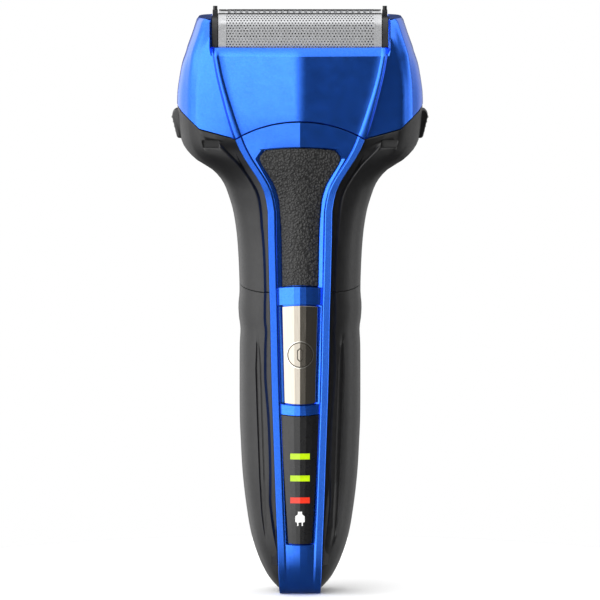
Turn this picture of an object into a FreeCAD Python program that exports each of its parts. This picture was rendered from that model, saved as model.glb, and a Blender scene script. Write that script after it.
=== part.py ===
import FreeCAD, Part
import math
import os

# A cordless foil shaver, 160 mm tall, standing on its tail: +Z up the handle, -Y the front, +X to the right.
# The origin is the middle of the tail's flat end. All lengths are millimetres.

V = FreeCAD.Vector
UP = V(0, 0, 1)
BACK = V(0, 1, 0)
RIGHT = V(1, 0, 0)

# ---------------------------------------------------------------- driving dimensions

crease_rake = 0.11        # how far the front falls back for each millimetre away from its centre crease
shell_wall = 1.8
body_sides = 40           # straight sides in each section of the black body
seam_gap = 0.15           # between the head cap and what it stands on
fit_gap = 0.12            # between the front frame and the housings around it

# The black body: height, half width, front, back, squareness of the section
body_stations = [
    (0.0, 4.2, -6.8, 6.8, 2.4),
    (0.9, 5.6, -8.7, 8.3, 2.4),
    (2.5, 7.3, -10.2, 9.8, 2.4),
    (4.6, 8.9, -11.4, 10.9, 2.4),
    (9.0, 11.1, -12.8, 12.2, 2.4),
    (15.6, 13.3, -13.7, 13.1, 2.5),
    (24.0, 14.7, -14.2, 13.8, 2.5),
    (33.0, 15.7, -14.5, 14.2, 2.5),
    (46.0, 16.4, -14.6, 14.5, 2.5),
    (60.0, 16.5, -14.5, 14.4, 2.5),
    (74.0, 16.5, -14.3, 14.1, 2.5),
    (90.0, 16.7, -14.0, 13.8, 2.5),
    (98.0, 17.3, -13.9, 13.8, 2.6),
    (104.0, 18.2, -13.9, 13.9, 2.7),
    (109.5, 19.8, -14.0, 14.1, 2.9),
    (113.8, 22.4, -14.2, 14.5, 3.2),
    (117.0, 26.0, -14.4, 15.0, 3.8),
    (120.4, 30.4, -14.7, 15.5, 4.8),
    (124.0, 32.3, -15.1, 16.0, 6.0),
    (128.5, 33.0, -15.6, 16.4, 7.0),
    (134.0, 33.3, -16.0, 16.7, 7.0),
]
housing_split_height = 85.0   # where the neck housing meets the handle sleeve, at the sides
housing_split_tilt = 10.0     # degrees: the joint falls towards the front

# The blue front frame: height, half width, crease, back
frame_stations = [
    (0.0, 5.5, -7.4, -5.5),
    (0.9, 5.6, -9.4, -6.3),
    (2.5, 5.7, -11.1, -7.4),
    (4.6, 5.75, -12.3, -8.6),
    (9.0, 5.85, -13.9, -9.6),
    (15.6, 5.95, -14.8, -10.4),
    (24.0, 6.3, -15.3, -10.6),
    (40.0, 6.9, -15.6, -10.6),
    (57.0, 7.5, -15.7, -10.6),
    (70.0, 7.95, -15.6, -10.6),
    (84.0, 8.35, -15.3, -10.6),
    (96.0, 8.6, -15.1, -10.6),
    (104.0, 8.75, -15.2, -10.6),
    (109.5, 9.5, -15.6, -10.9),
    (113.8, 11.4, -16.2, -11.4),
    (118.2, 14.2, -17.0, -11.9),
    (124.6, 17.5, -17.9, -12.6),
    (130.5, 20.0, -18.7, -13.2),
]
lip_width = 1.7
lip_rise = 0.55
lip_inner_slope = 1.0     # width of the sloping wall inside the lip

# The seam between cap and housing, as seen from the front: half width, height
seam_side = (34.0, 133.3)
seam_corner = (27.3, 127.2)
seam_foot = (17.5, 124.6)
seam_crown = 129.5
release_bay = 6.5         # half depth of the level part of the seam, above each release button

# The head cap: height, crease, strip half width, panel corner, facet corner, half width, back
cap_stations = [
    (120.0, -17.2, 15.4, (27.2, -14.0), (30.2, -11.4), 33.1, 15.9),
    (124.0, -17.8, 17.3, (27.3, -14.2), (30.3, -11.6), 33.2, 16.4),
    (129.0, -18.4, 19.4, (27.5, -14.5), (30.4, -11.9), 33.4, 16.8),
    (133.0, -18.9, 21.0, (27.6, -14.8), (30.4, -12.2), 33.4, 17.0),
    (137.0, -19.2, 22.2, (27.6, -15.0), (30.3, -12.5), 33.2, 17.1),
    (141.0, -19.4, 22.8, (27.3, -15.2), (30.1, -12.7), 32.7, 17.0),
    (147.6, -19.5, 23.3, (26.0, -15.6), (29.3, -13.0), 30.8, 16.6),
]
cap_top_stations = [
    (147.6, -19.5, 23.3, (26.0, -15.6), (29.3, -13.0), 30.8, 16.6),
    (151.0, -16.6, 23.3, (25.6, -15.0), (28.3, -12.6), 29.5, 15.8),
    (157.1, -14.4, 23.3, (25.2, -12.8), (26.2, -10.6), 26.6, 14.0),
]
cap_hollow_stations = [
    (118.0, 25.2, 29.2, 31.2, -13.2, 14.3),
    (133.0, 25.4, 29.2, 31.4, -13.9, 15.2),
    (141.0, 25.4, 28.6, 30.8, -14.3, 15.2),
    (146.9, 24.8, 27.6, 28.9, -14.4, 14.9),
]
rim_height = 149.6        # the cap's front rim, between its two ears
ear_inner = 24.0
rim_corner = 1.5
opening_half_depth = 14.6

# Cutting system
foil_reach = 8.9          # how far each foil's centre line is from the middle
foil_radius = 4.6
foil_axis_height = 154.0
foil_skin = 0.25
foil_half_length = 22.1
foil_foot = 143.0
blade_gap = 0.15
blade_pitch = 1.72
blade_thickness = 0.4
blades_each_side = 10
stroke = 1.0              # each way
slot_pitch = 1.6
slot_width = 0.8
slots_each_side = 12
cassette_half = (23.8, 14.3)
cassette_inner = (22.3, 13.8)

# Drive
motor_radius = 10.2
motor_flat = 7.7
motor_bottom = 88.0
motor_top = 116.0
shaft_radius = 1.0
lobe_radius = 1.9
pin_radius = 1.6
deck_bottom = 125.2
deck_top = 127.2
well_half_depth = 11.6    # inside the deck's collar, where the drive seal lies
post_places = [(-17.0, -8.5), (-17.0, 8.5), (17.0, -8.5), (17.0, 8.5)]
motor_screw_reach = 6.6   # each side of the shaft

# Controls and lights
button_top = 79.2
button_bottom = 52.8
icon_height = 66.1
icon_radius = 3.5
light_heights = {"charge_light_top": 38.4, "charge_light_middle": 32.4, "charge_light_low": 26.4}
light_size = (5.3, 1.6)
window_outline = [(5.35, 49.7), (3.25, 14.4)]

# Charging inlet
inlet_centre = 0.6
inlet_inner = (5.2, 7.6)
inlet_outer = (7.0, 9.6)
inlet_depth = 9.0
contact_spacing = 4.4
contact_radius = 0.8

# Release buttons
release_height = 128.2
release_size = (8.0, 7.0)


# ---------------------------------------------------------------- small helpers


def box(x0, x1, y0, y1, z0, z1):
    return Part.makeBox(x1 - x0, y1 - y0, z1 - z0, V(x0, y0, z0))


def rod(radius, start, length, direction=UP):
    return Part.makeCylinder(radius, length, V(*start), direction)


def fused(shapes):
    whole = shapes[0]
    if len(shapes) > 1:
        whole = whole.multiFuse(shapes[1:])
    return whole.removeSplitter()


def along(stations, height, column):
    """A smooth value between stations, by a cubic through them."""
    last = len(stations) - 1
    if height <= stations[0][0]:
        return stations[0][column]
    if height >= stations[last][0]:
        return stations[last][column]
    i = max(n for n in range(last) if stations[n][0] <= height)

    def slope(n):
        lo = max(n - 1, 0)
        hi = min(n + 1, last)
        return (stations[hi][column] - stations[lo][column]) / (stations[hi][0] - stations[lo][0])

    span = stations[i + 1][0] - stations[i][0]
    t = (height - stations[i][0]) / span
    return (
        (2 * t**3 - 3 * t**2 + 1) * stations[i][column]
        + (t**3 - 2 * t**2 + t) * span * slope(i)
        + (3 * t**2 - 2 * t**3) * stations[i + 1][column]
        + (t**3 - t**2) * span * slope(i + 1)
    )


def heights_between(stations, low, high):
    inner = [row[0] for row in stations if low + 0.3 < row[0] < high - 0.3]
    return [low] + inner + [high]


def polygon(points):
    closed = points + [points[0]]
    return Part.makePolygon([V(*p) for p in closed])


def mirrored_outline(half):
    """A closed outline from its right half, listed from the front crease round to the back."""
    left = [(-x, y) for x, y in reversed(half) if x > 1e-6]
    return half + left


def loft(wires, ruled=False):
    return Part.makeLoft(wires, True, ruled)


def prism_y(wire, y0, y1):
    """A flat outline in the XZ plane, drawn out along Y."""
    face = Part.Face(wire)
    face.translate(V(0, y0, 0))
    return face.extrude(V(0, y1 - y0, 0))


def rounded_bar(width, depth, corner, z0, z1, y_centre=0.0):
    """An upright block with rounded vertical corners."""
    block = box(-width / 2, width / 2, y_centre - depth / 2, y_centre + depth / 2, z0, z1)
    upright = [e for e in block.Edges if abs(e.Vertexes[0].Z - e.Vertexes[1].Z) > 1e-6]
    return block.makeFillet(corner, upright)


def coil(radius, wire_half, turns, start, length, direction=UP):
    """A compression spring of square wire, with its first turn's foot at start."""
    helix = Part.makeHelix(length / turns, length, radius)
    inner, outer = radius - wire_half, radius + wire_half
    square = polygon([(inner, 0, -wire_half), (outer, 0, -wire_half),
                      (outer, 0, wire_half), (inner, 0, wire_half)])
    spring = Part.Wire(helix.Edges).makePipeShell([square], True, True)
    spring.rotate(V(0, 0, 0), UP.cross(direction) if UP.cross(direction).Length else RIGHT,
                  math.degrees(UP.getAngle(direction)))
    spring.translate(V(*start))
    return spring


# ---------------------------------------------------------------- the black body


def body_section(height, grow):
    """A rounded-square section of the body, drawn with short straight sides."""
    half = along(body_stations, height, 1) + grow
    front = along(body_stations, height, 2) - grow
    back = along(body_stations, height, 3) + grow
    power = along(body_stations, height, 4)
    middle = (front + back) / 2
    depth = (back - front) / 2
    points = []
    for n in range(body_sides):
        turn = 2 * math.pi * (n + 0.5) / body_sides
        c, s = math.cos(turn), math.sin(turn)
        x = math.copysign(abs(c) ** (2 / power), c) * half
        y = math.copysign(abs(s) ** (2 / power), s) * depth + middle
        points.append(V(x, y, height))
    return Part.makePolygon(points + [points[0]])


def body_solid(grow=0.0, low=0.0, high=134.0):
    return loft([body_section(h, grow) for h in heights_between(body_stations, low, high)])


def below_split(gap):
    """Everything under the tilted joint between neck housing and handle sleeve."""
    block = box(-60, 60, -60, 60, -60, housing_split_height - gap)
    block.rotate(V(0, 0, housing_split_height), RIGHT, housing_split_tilt)
    return block


def above_seam(gap):
    """Everything above the seam that the head cap stands on, right through from front to back."""
    side_x, side_z = seam_side
    corner_x, corner_z = seam_corner
    foot_x, foot_z = seam_foot
    crown = Part.Arc(V(-foot_x, 0, foot_z + gap), V(0, 0, seam_crown + gap), V(foot_x, 0, foot_z + gap))
    top = 200
    side = [
        V(foot_x, 0, foot_z + gap),
        V(corner_x, 0, corner_z + gap),
        V(side_x, 0, side_z + gap),
        V(side_x + 20, 0, side_z + gap),
        V(side_x + 20, 0, top),
    ]
    other = [V(-p.x, 0, p.z) for p in reversed(side)]
    path = Part.makePolygon(side + other)
    wire = Part.Wire(path.Edges + [crown.toShape()])
    seam = prism_y(wire, -60, 60)
    for x0, x1 in ((-60, -27.8), (27.8, 60)):
        seam = seam.cut(box(x0, x1, -release_bay, release_bay, 100, seam_side[1] + gap))
    return seam


def front_outline(height, grow):
    """The front frame's section: a creased floor between two raised lips."""
    half = along(frame_stations, height, 1)
    crease = along(frame_stations, height, 2)
    rear = along(frame_stations, height, 3)
    lip = half - lip_width
    floor = lip - lip_inner_slope
    points = [
        (0.0, crease - grow),
        (floor, crease + crease_rake * floor - grow),
        (lip, crease + crease_rake * lip - lip_rise - grow),
        (half + grow, crease + crease_rake * half - 0.1 - grow),
        (half + grow, rear + grow),
    ]
    return polygon([(x, y, height) for x, y in mirrored_outline(points)])


def front_solid(grow=0.0, low=0.0, high=130.5):
    return loft([front_outline(h, grow) for h in heights_between(frame_stations, low, high)])


def front_layer(shallow, deep, low, high, half=24.0):
    """A slab that follows the creased front, between two depths behind it."""
    wires = []
    for h in heights_between(frame_stations, low, high):
        crease = along(frame_stations, h, 2)
        edge = crease + crease_rake * half
        wires.append(polygon([
            (0, crease + shallow, h), (half, edge + shallow, h), (half, edge + deep, h),
            (0, crease + deep, h), (-half, edge + deep, h), (-half, edge + shallow, h),
        ]))
    return loft(wires)


def housing_shell():
    """The hollow body as one, before it is parted into neck and handle."""
    outer = body_solid()
    hollow = body_solid(-shell_wall, 3.4, 134.0)
    above = box(-40, 40, -40, 40, 133.9, 140)
    return outer.cut(hollow).cut(above).cut(front_solid(fit_gap))


def neck_housing(shell):
    neck = shell.cut(below_split(-0.05)).cut(above_seam(0.0))
    for side in (-1, 1):
        wide, tall = release_size
        x0, x1 = sorted((28.0 * side, 40.0 * side))
        neck = neck.cut(box(x0, x1, -wide / 2 - 0.15, wide / 2 + 0.15,
                            release_height - tall / 2 - 0.15, release_height + tall / 2 + 0.15))
        # a shallow drain notch on each shoulder
        n0, n1 = sorted((22.0 * side, 26.2 * side))
        neck = neck.cut(box(n0, n1, -20, -13.6, 123.6, 124.4))
    return neck


def handle_sleeve(shell):
    sleeve = shell.common(below_split(0.05))
    wide, deep = inlet_outer
    mouth = rounded_bar(wide + 0.1, deep + 0.1, 1.55, -1, 6.9, inlet_centre)
    return sleeve.cut(mouth)


# ---------------------------------------------------------------- front frame and what sits in it


def upright_outline(half_points):
    """A closed outline in the XZ plane from its right half, listed from the bottom up."""
    left = [(-x, z) for x, z in reversed(half_points) if x > 1e-6]
    points = [V(x, 0, z) for x, z in half_points + left]
    return Part.makePolygon(points + [points[0]])


def pad_outline(gap):
    """The grip pad: a narrow stem that flares to a wide head with clipped corners."""
    stem = [V(5.0 + gap, 0, 84.4 - gap), V(5.2 + gap, 0, 98.0), V(5.6 + gap, 0, 105.0)]
    flare = [V(5.6 + gap, 0, 105.0), V(6.5 + gap, 0, 110.4), V(8.3 + gap, 0, 114.4)]
    corner = V(11.1 + gap, 0, 119.4)
    clip = V(9.5 + gap * 0.5, 0, 121.6 + gap)
    edges = [Part.LineSegment(stem[0], stem[2]).toShape()]
    edges.append(Part.Arc(*flare).toShape())
    edges.append(Part.LineSegment(flare[2], corner).toShape())
    edges.append(Part.LineSegment(corner, clip).toShape())
    right = Part.Wire(edges)
    left = right.mirror(V(0, 0, 0), RIGHT)
    crown = Part.Arc(clip, V(0, 0, 122.4 + gap), V(-clip.x, 0, clip.z)).toShape()
    base = Part.LineSegment(V(-stem[0].x, 0, stem[0].z), stem[0]).toShape()
    return Part.Wire(Part.__sortEdges__(right.Edges + left.Edges + [crown, base]))


def button_outline(gap):
    return upright_outline([(4.3 + gap, button_bottom - gap), (5.0 + gap, button_top + gap)])


def window_shape(gap):
    (top_x, top_z), (low_x, low_z) = window_outline
    return upright_outline([(low_x + gap, low_z - gap), (top_x + gap, top_z + gap)])


def light_block(height, gap, y0, y1):
    wide, tall = light_size
    return box(-wide / 2 - gap, wide / 2 + gap, y0, y1, height - tall / 2 - gap, height + tall / 2 + gap)


def front_frame():
    frame = front_solid()
    frame = frame.cut(above_seam(-0.05))
    pad_pocket = prism_y(pad_outline(0.12), -30, -5).common(front_layer(-2, 2.3, 80, 126))
    button_slot = prism_y(button_outline(0.25), -30, -5)
    window_pocket = prism_y(window_shape(0.1), -30, -5).common(front_layer(-2, 1.7, 10, 54))
    frame = frame.cut(pad_pocket).cut(button_slot).cut(window_pocket)
    for height in light_heights.values():
        frame = frame.cut(light_block(height, 0.25, -20, -5))
    return frame


def grip_pad():
    return prism_y(pad_outline(0.0), -30, -5).common(front_layer(0.1, 2.2, 80, 126))


def power_button():
    plate = prism_y(button_outline(0.0), -30, -5).common(front_layer(-0.1, 1.9, 48, 84))
    ring = rod(icon_radius + 0.12, (0, -20, icon_height), 10, BACK)
    ring = ring.cut(rod(icon_radius - 0.12, (0, -21, icon_height), 12, BACK))
    ring = ring.common(front_layer(-1, 0.1, 60, 72))
    bar = box(-0.3, 0.3, -20, -10, icon_height - 1.4, icon_height + 1.4).common(front_layer(-1, 0.1, 60, 72))
    plunger = rod(1.5, (0, -14.4, icon_height), 3.5, BACK)
    return fused([plate.cut(ring).cut(bar), plunger])


def button_seal():
    sheet = box(-6.6, 6.6, -10.45, -9.95, 51.0, 81.0)
    return sheet.cut(rod(1.9, (0, -12, icon_height), 4, BACK))


def indicator_window():
    lens = prism_y(window_shape(0.0), -30, -5).common(front_layer(0.05, 1.6, 10, 54))
    for height in light_heights.values():
        lens = lens.cut(light_block(height, 0.04, -20, -5))
    return lens


def charge_light(height):
    bar = light_block(height, 0.0, -20, -11.0)
    return bar.common(front_layer(0.0, 8.0, 20, 44))


# ---------------------------------------------------------------- head cap


def cap_section(station):
    height, crease, strip, panel, facet, half, rear = station
    edge = crease + crease_rake * strip
    points = [
        (0.0, crease),
        (strip - 1.9, edge - crease_rake * 1.9),
        (strip - 1.3, edge - 0.4),
        (strip - 0.3, edge - 0.3),
        (strip, edge + 0.8),
        panel,
        facet,
        (half, facet[1] + 5.0),
        (half, rear - 8.0),
        (facet[0], rear - 3.2),
        (panel[0], rear),
    ]
    return polygon([(x, y, height) for x, y in mirrored_outline(points)])


def cap_hollow_section(station):
    height, corner, facet, half, front, rear = station
    points = [(corner, front), (facet, front + 3.4), (half, front + 8.0),
              (half, rear - 8.0), (facet, rear - 3.0), (corner, rear)]
    return polygon([(x, y, height) for x, y in points + [(-x, y) for x, y in reversed(points)]])


def head_cap():
    lower = loft([cap_section(s) for s in cap_stations], ruled=True)
    upper = loft([cap_section(s) for s in cap_top_stations], ruled=True)
    cap = lower.fuse(upper).common(above_seam(seam_gap))
    cap = cap.cut(loft([cap_hollow_section(s) for s in cap_hollow_stations], ruled=True))
    mouth = box(-ear_inner, ear_inner, -30, 30, rim_height, 170)
    low_edges = [e for e in mouth.Edges
                 if all(abs(v.Z - rim_height) < 1e-6 for v in e.Vertexes)
                 and abs(e.Vertexes[0].Y - e.Vertexes[1].Y) > 1]
    cap = cap.cut(mouth.makeFillet(rim_corner, low_edges))
    cap = cap.cut(box(-ear_inner, ear_inner, -opening_half_depth, opening_half_depth, 140, 155))
    legs = []
    for side in (-1, 1):
        b0, b1 = sorted((26.3 * side, 31.9 * side))
        l0, l1 = sorted((26.3 * side, 27.4 * side))
        legs.append(box(b0, b1, -5.2, 5.2, 133.9, 135.6))
        for front in (-5.2, 3.0):
            legs.append(box(l0, l1, front, front + 2.2, 126.6, 134.0))
    return fused([cap] + legs)


# ---------------------------------------------------------------- foils and cutters


def arch(outer, inner, x0, x1, centre_y, foot):
    """A hollow arch along X: half a tube on two straight legs."""
    length = x1 - x0

    def solid(radius, low):
        tube = rod(radius, (x0, centre_y, foil_axis_height), length, RIGHT)
        legs = box(x0, x1, centre_y - radius, centre_y + radius, low, foil_axis_height)
        lower = box(x0 - 1, x1 + 1, centre_y - 20, centre_y + 20, foot - 30, foot)
        return tube.fuse(legs).cut(lower)

    return solid(outer, foot).cut(solid(inner, foot - 5)).removeSplitter()


def foil(centre_y):
    return arch(foil_radius, foil_radius - foil_skin, -foil_half_length, foil_half_length,
                centre_y, foil_foot)


def foil_carrier(centre_y):
    """The two end blocks that a foil is welded over."""
    radius = foil_radius - foil_skin - 0.03
    ends = []
    for side in (-1, 1):
        x0, x1 = sorted((21.0 * side, 22.0 * side))
        plug = rod(radius, (x0, centre_y, foil_axis_height), 1.0, RIGHT)
        legs = box(x0, x1, centre_y - radius, centre_y + radius, foil_foot, foil_axis_height)
        gap = box(x0 - 1, x1 + 1, centre_y - 2.0, centre_y + 2.0, foil_foot - 1, foil_axis_height - 4)
        ends.append(plug.fuse(legs).cut(gap).cut(box(-60, 60, -60, 60, 100, foil_foot)).removeSplitter())
    return Part.makeCompound(ends)


def blade_pack(centre_y):
    """Thin arched blades in a row, joined by a rail along each foot."""
    outer = foil_radius - foil_skin - blade_gap
    end = blades_each_side * blade_pitch + 0.2
    parts = [box(-end, end, centre_y - 4.1, centre_y - 3.0, 151.6, 152.2),
             box(-end, end, centre_y + 3.0, centre_y + 4.1, 151.6, 152.2)]
    for n in range(-blades_each_side, blades_each_side + 1):
        middle = n * blade_pitch
        parts.append(arch(outer, outer - 1.3, middle - blade_thickness / 2, middle + blade_thickness / 2,
                          centre_y, 151.6))
    return parts[0].multiFuse(parts[1:])


def blade_holder(centre_y):
    length = (blades_each_side + 0.6) * blade_pitch
    base = box(-length, length, centre_y - 3.9, centre_y + 3.9, 150.2, 151.55)
    keel = box(-length + 2, length - 2, centre_y - 2.4, centre_y + 2.4, 147.0, 150.3)
    socket = rod(pin_radius + 0.08, (0, centre_y, 140), 9.4)
    return fused([base, keel]).cut(socket)


def centre_trimmer():
    """A narrow steel channel, slotted across its top like a comb."""
    outer = box(-21.6, 21.6, -2.7, 2.7, 145.0, 158.7)
    long_top = [e for e in outer.Edges if all(abs(v.Z - 158.7) < 1e-6 for v in e.Vertexes)
                and abs(e.Vertexes[0].X - e.Vertexes[1].X) > 1]
    outer = outer.makeFillet(0.7, long_top)
    hollow = box(-20.8, 20.8, -2.3, 2.3, 144.0, 158.2)
    trimmer = outer.cut(hollow)
    for n in range(-slots_each_side, slots_each_side + 1):
        middle = n * slot_pitch
        trimmer = trimmer.cut(box(middle - slot_width / 2, middle + slot_width / 2, -4, 4, 156.4, 160))
    return fused([trimmer, box(-20.8, 20.8, -0.5, 0.5, 158.2, 158.7)])


def centre_blade():
    """The toothed channel that shuttles inside the centre trimmer."""
    blade = box(-19.4, 19.4, -1.95, 1.95, 148.0, 157.9).cut(box(-30, 30, -1.45, 1.45, 149.2, 157.4))
    for n in range(-slots_each_side, slots_each_side):
        middle = (n + 0.5) * slot_pitch
        blade = blade.cut(box(middle - slot_width / 2, middle + slot_width / 2, -4, 4, 155.6, 160))
    for x in (-9.0, 9.0):
        blade = blade.cut(rod(1.08, (x, 0, 140), 8.8))
    return blade


def foil_cassette():
    out_x, out_y = cassette_half
    in_x, in_y = cassette_inner
    frame = box(-out_x, out_x, -out_y, out_y, 141.0, 148.9).cut(box(-in_x, in_x, -in_y, in_y, 140, 150))
    parts = [frame]
    for y in (-3.9, 3.45):
        parts.append(box(-in_x - 0.1, in_x + 0.1, y, y + 0.45, 141.0, 147.0))
    for side in (-1, 1):
        x0, x1 = sorted((in_x * side, out_x * side))
        for y in (-foil_reach, foil_reach):
            parts.append(rod(4.5, (x0, y, 153.0), x1 - x0, RIGHT))
            parts.append(box(x0, x1, y - 4.5, y + 4.5, 148.0, 153.0))
        parts.append(box(x0, x1, -4.6, 4.6, 148.0, 157.4))
        middle = (x0 + x1) / 2
        parts.append(box(middle - 0.7, middle + 0.7, -2.6, 2.6, 157.3, 158.9))
        parts.append(rod(0.6, (middle, 0, 158.8), 1.2))
        f0, f1 = sorted((23.7 * side, 25.2 * side))
        parts.append(box(f0, f1, -9, 9, 145.2, 146.7))
    return fused(parts)


# ---------------------------------------------------------------- drive


def drive_slot(z0, z1):
    """The window in each drive arm, wide enough for its lobe at every angle and stroke."""
    reach_x = lobe_radius + 2 * stroke + 0.15
    reach_y = lobe_radius + stroke + 0.15
    return box(-reach_x, reach_x, -reach_y, reach_y, z0 - 1, z1 + 1)


def drive_arm_front():
    z0, z1 = 119.7, 121.3
    plate = box(-7.5, 7.5, -11.0, 5.4, z0, z1)
    pin = rod(pin_radius, (0, -foil_reach, z1 - 0.1), 147.6 - z1)
    return fused([plate.cut(drive_slot(z0, z1)), pin])


def drive_arm_rear():
    z0, z1 = 122.2, 123.8
    plate = box(-7.5, 7.5, -5.4, 11.0, z0, z1)
    wings = box(-10.6, 10.6, -1.8, 1.8, z0, z1)
    pins = [rod(pin_radius, (0, foil_reach, z1 - 0.1), 147.6 - z1)]
    pins += [rod(1.0, (x, 0, z1 - 0.1), 147.6 - z1) for x in (-9.0, 9.0)]
    return fused([plate.fuse(wings).cut(drive_slot(z0, z1))] + pins)


def motor():
    can = rod(motor_radius, (0, 0, motor_bottom), motor_top - motor_bottom)
    can = can.common(box(-20, 20, -motor_flat, motor_flat, 80, 130))
    boss = rod(3.0, (0, 0, motor_top - 0.1), 1.5)
    tail = rod(3.2, (0, 0, motor_bottom - 1.6), 1.7)
    bore = rod(shaft_radius + 0.05, (0, 0, 100), 30)
    whole = fused([can, boss, tail]).cut(bore)
    for x in (-motor_screw_reach, motor_screw_reach):
        whole = whole.cut(rod(0.85, (x, 0, 112), 10))
    return whole


def eccentric_shaft():
    shaft = rod(shaft_radius, (0, 0, 100.3), 23.9)
    lower = rod(lobe_radius, (0, -stroke, 119.6), 1.8)
    upper = rod(lobe_radius, (0, stroke, 122.1), 1.8)
    return fused([shaft, lower, upper])


def motor_bracket():
    """The plate that the motor hangs from, with four posts that carry the head deck."""
    plate = [box(-14.0, 14.0, -9.6, 9.6, 116.1, 118.9)]
    for x, y in post_places:
        x0, x1 = sorted((x * 0.7, x))
        plate.append(box(x0, x1, y - 1.1, y + 1.1, 116.1, 118.9))
        plate.append(rod(2.2, (x, y, 116.1), deck_bottom - 116.15))
    bracket = fused(plate).cut(rod(3.3, (0, 0, 110), 20))
    for x in (-motor_screw_reach, motor_screw_reach):
        bracket = bracket.cut(rod(1.0, (x, 0, 110), 20)).cut(rod(1.9, (x, 0, 117.6), 5))
    for x, y in post_places:
        bracket = bracket.cut(rod(1.0, (x, y, 118.5), 8))
    return bracket


def screw(x, y, shank_bottom, head_bottom, shank_radius, head_radius, head_height):
    """A pan-head screw with a cross recess."""
    shank = rod(shank_radius, (x, y, shank_bottom), head_bottom - shank_bottom + 0.1)
    head = rod(head_radius, (x, y, head_bottom), head_height)
    top = head_bottom + head_height
    arm = head_radius * 0.6
    cross = box(x - arm, x + arm, y - 0.2, y + 0.2, top - 0.5, top + 1)
    cross = cross.fuse(box(x - 0.2, x + 0.2, y - arm, y + arm, top - 0.5, top + 1))
    return fused([shank, head]).cut(cross)


def deck_screws():
    return Part.makeCompound([screw(x, y, 120.0, deck_top, 0.95, 1.9, 1.2) for x, y in post_places])


def motor_screws():
    return Part.makeCompound([screw(x, 0, 112.6, 117.6, 0.8, 1.7, 1.2)
                              for x in (-motor_screw_reach, motor_screw_reach)])


def head_deck():
    """The plate that closes the neck, with a collar that the foil cassette's foot goes round."""
    deck = rounded_bar(57.0, 24.4, 3.0, deck_bottom, deck_top)
    collar = rounded_bar(46.0, 25.0, 2.5, deck_top - 0.1, 131.0)
    well = rounded_bar(43.2, 2 * well_half_depth, 1.5, deck_top, 140.0)
    deck = deck.fuse(collar.cut(well))
    for side in (-1, 1):
        x0, x1 = sorted((25.6 * side, 45 * side))
        deck = deck.cut(box(x0, x1, -6.4, 6.4, 120, 140))
        s0, s1 = sorted((24.4 * side, 25.6 * side))
        deck = deck.fuse(box(s0, s1, -3.0, 3.0, deck_top - 0.5, 131.0))
        c0, c1 = sorted((9.0 * side - 2.4, 9.0 * side + 2.4))
        deck = deck.cut(box(c0, c1, -1.5, 1.5, 120, 140))
    for x, y in post_places:
        deck = deck.cut(rod(1.1, (x, y, 120), 10))
    for y in (-foil_reach, foil_reach):
        deck = deck.cut(box(-3.0, 3.0, y - 2.0, y + 2.0, 120, 140))
    return deck


def drive_seal():
    """A rubber sheet with a raised ring round each drive pin."""
    edge = well_half_depth - 0.1
    room = box(-20, 20, -edge, edge, deck_top + 0.02, 140)
    sheet = box(-13.6, 13.6, -edge, edge, deck_top + 0.02, deck_top + 0.9)
    rings = [rod(3.6, (0, y, deck_top + 0.5), 2.0) for y in (-foil_reach + 0.3, foil_reach - 0.3)]
    rings += [rod(2.9, (x, 0, deck_top + 0.5), 1.6) for x in (-9.0, 9.0)]
    seal = fused([sheet] + rings).common(room)
    reach_x, reach_y = pin_radius + stroke + 0.2, pin_radius + 0.25
    for y in (-foil_reach, foil_reach):
        seal = seal.cut(box(-reach_x, reach_x, y - reach_y, y + reach_y, 120, 140))
    for x in (-9.0, 9.0):
        seal = seal.cut(rod(1.0 + stroke + 0.2, (x, 0, 120), 20))
    return seal


def cutter_spring(centre_y):
    """Pushes a blade holder up into its foil, round the drive pin."""
    return coil(2.1, 0.2, 5, (0, centre_y, 134.2), 12.4)


# ---------------------------------------------------------------- release buttons


def release_button(side):
    wide, tall = release_size
    x0, x1 = sorted((29.6 * side, 34.8 * side))
    cap = box(x0, x1, -wide / 2, wide / 2, release_height - tall / 2, release_height + tall / 2)
    outer = [e for e in cap.Edges if all(abs(abs(v.X) - 34.8) < 1e-6 for v in e.Vertexes)]
    cap = cap.makeFillet(0.9, outer)
    f0, f1 = sorted((29.2 * side, 30.1 * side))
    flange = box(f0, f1, -wide / 2 - 0.8, wide / 2 + 0.8,
                 release_height - tall / 2 - 0.7, release_height + tall / 2 + 0.7)
    ribs = []
    for n in range(3):
        z = release_height - 1.6 + 1.6 * n
        r0, r1 = sorted((34.5 * side, 35.1 * side))
        ribs.append(box(r0, r1, -2.6, 2.6, z - 0.25, z + 0.25))
    return fused([cap, flange] + ribs)


def release_spring(side):
    return coil(1.5, 0.18, 4, (25.9 * side, 0, release_height), 3.0, V(side, 0, 0))


# ---------------------------------------------------------------- power and charging


def inner_chassis():
    """The tray that holds the cell, the board and the motor."""
    tray = [
        box(-9.2, 9.2, 9.0, 10.2, 14.0, 115.9),
        box(-11.4, -10.2, -6.8, 10.2, 14.0, 86.0),
        box(10.2, 11.4, -6.8, 10.2, 14.0, 86.0),
        box(-11.0, 11.0, -5.4, 10.0, 14.0, 15.6),
        box(-11.0, 11.0, -5.4, 10.0, 71.0, 72.4),
        box(-11.0, 11.0, -5.4, 10.0, 84.0, 85.8),
        box(-7.0, 7.0, 7.9, 9.1, 88.0, 115.9),
    ]
    room = body_solid(-shell_wall - 0.3, 5.0, 126.0)
    return fused(tray).common(room)


def battery_cell():
    cell = rod(7.1, (0, 1.5, 18.2), 49.0)
    rims = [e for e in cell.Edges if len(e.Vertexes) == 1 and isinstance(e.Curve, Part.Circle)]
    cell = cell.makeFillet(0.6, rims)
    return fused([cell, rod(2.7, (0, 1.5, 67.1), 1.0)])


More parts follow.
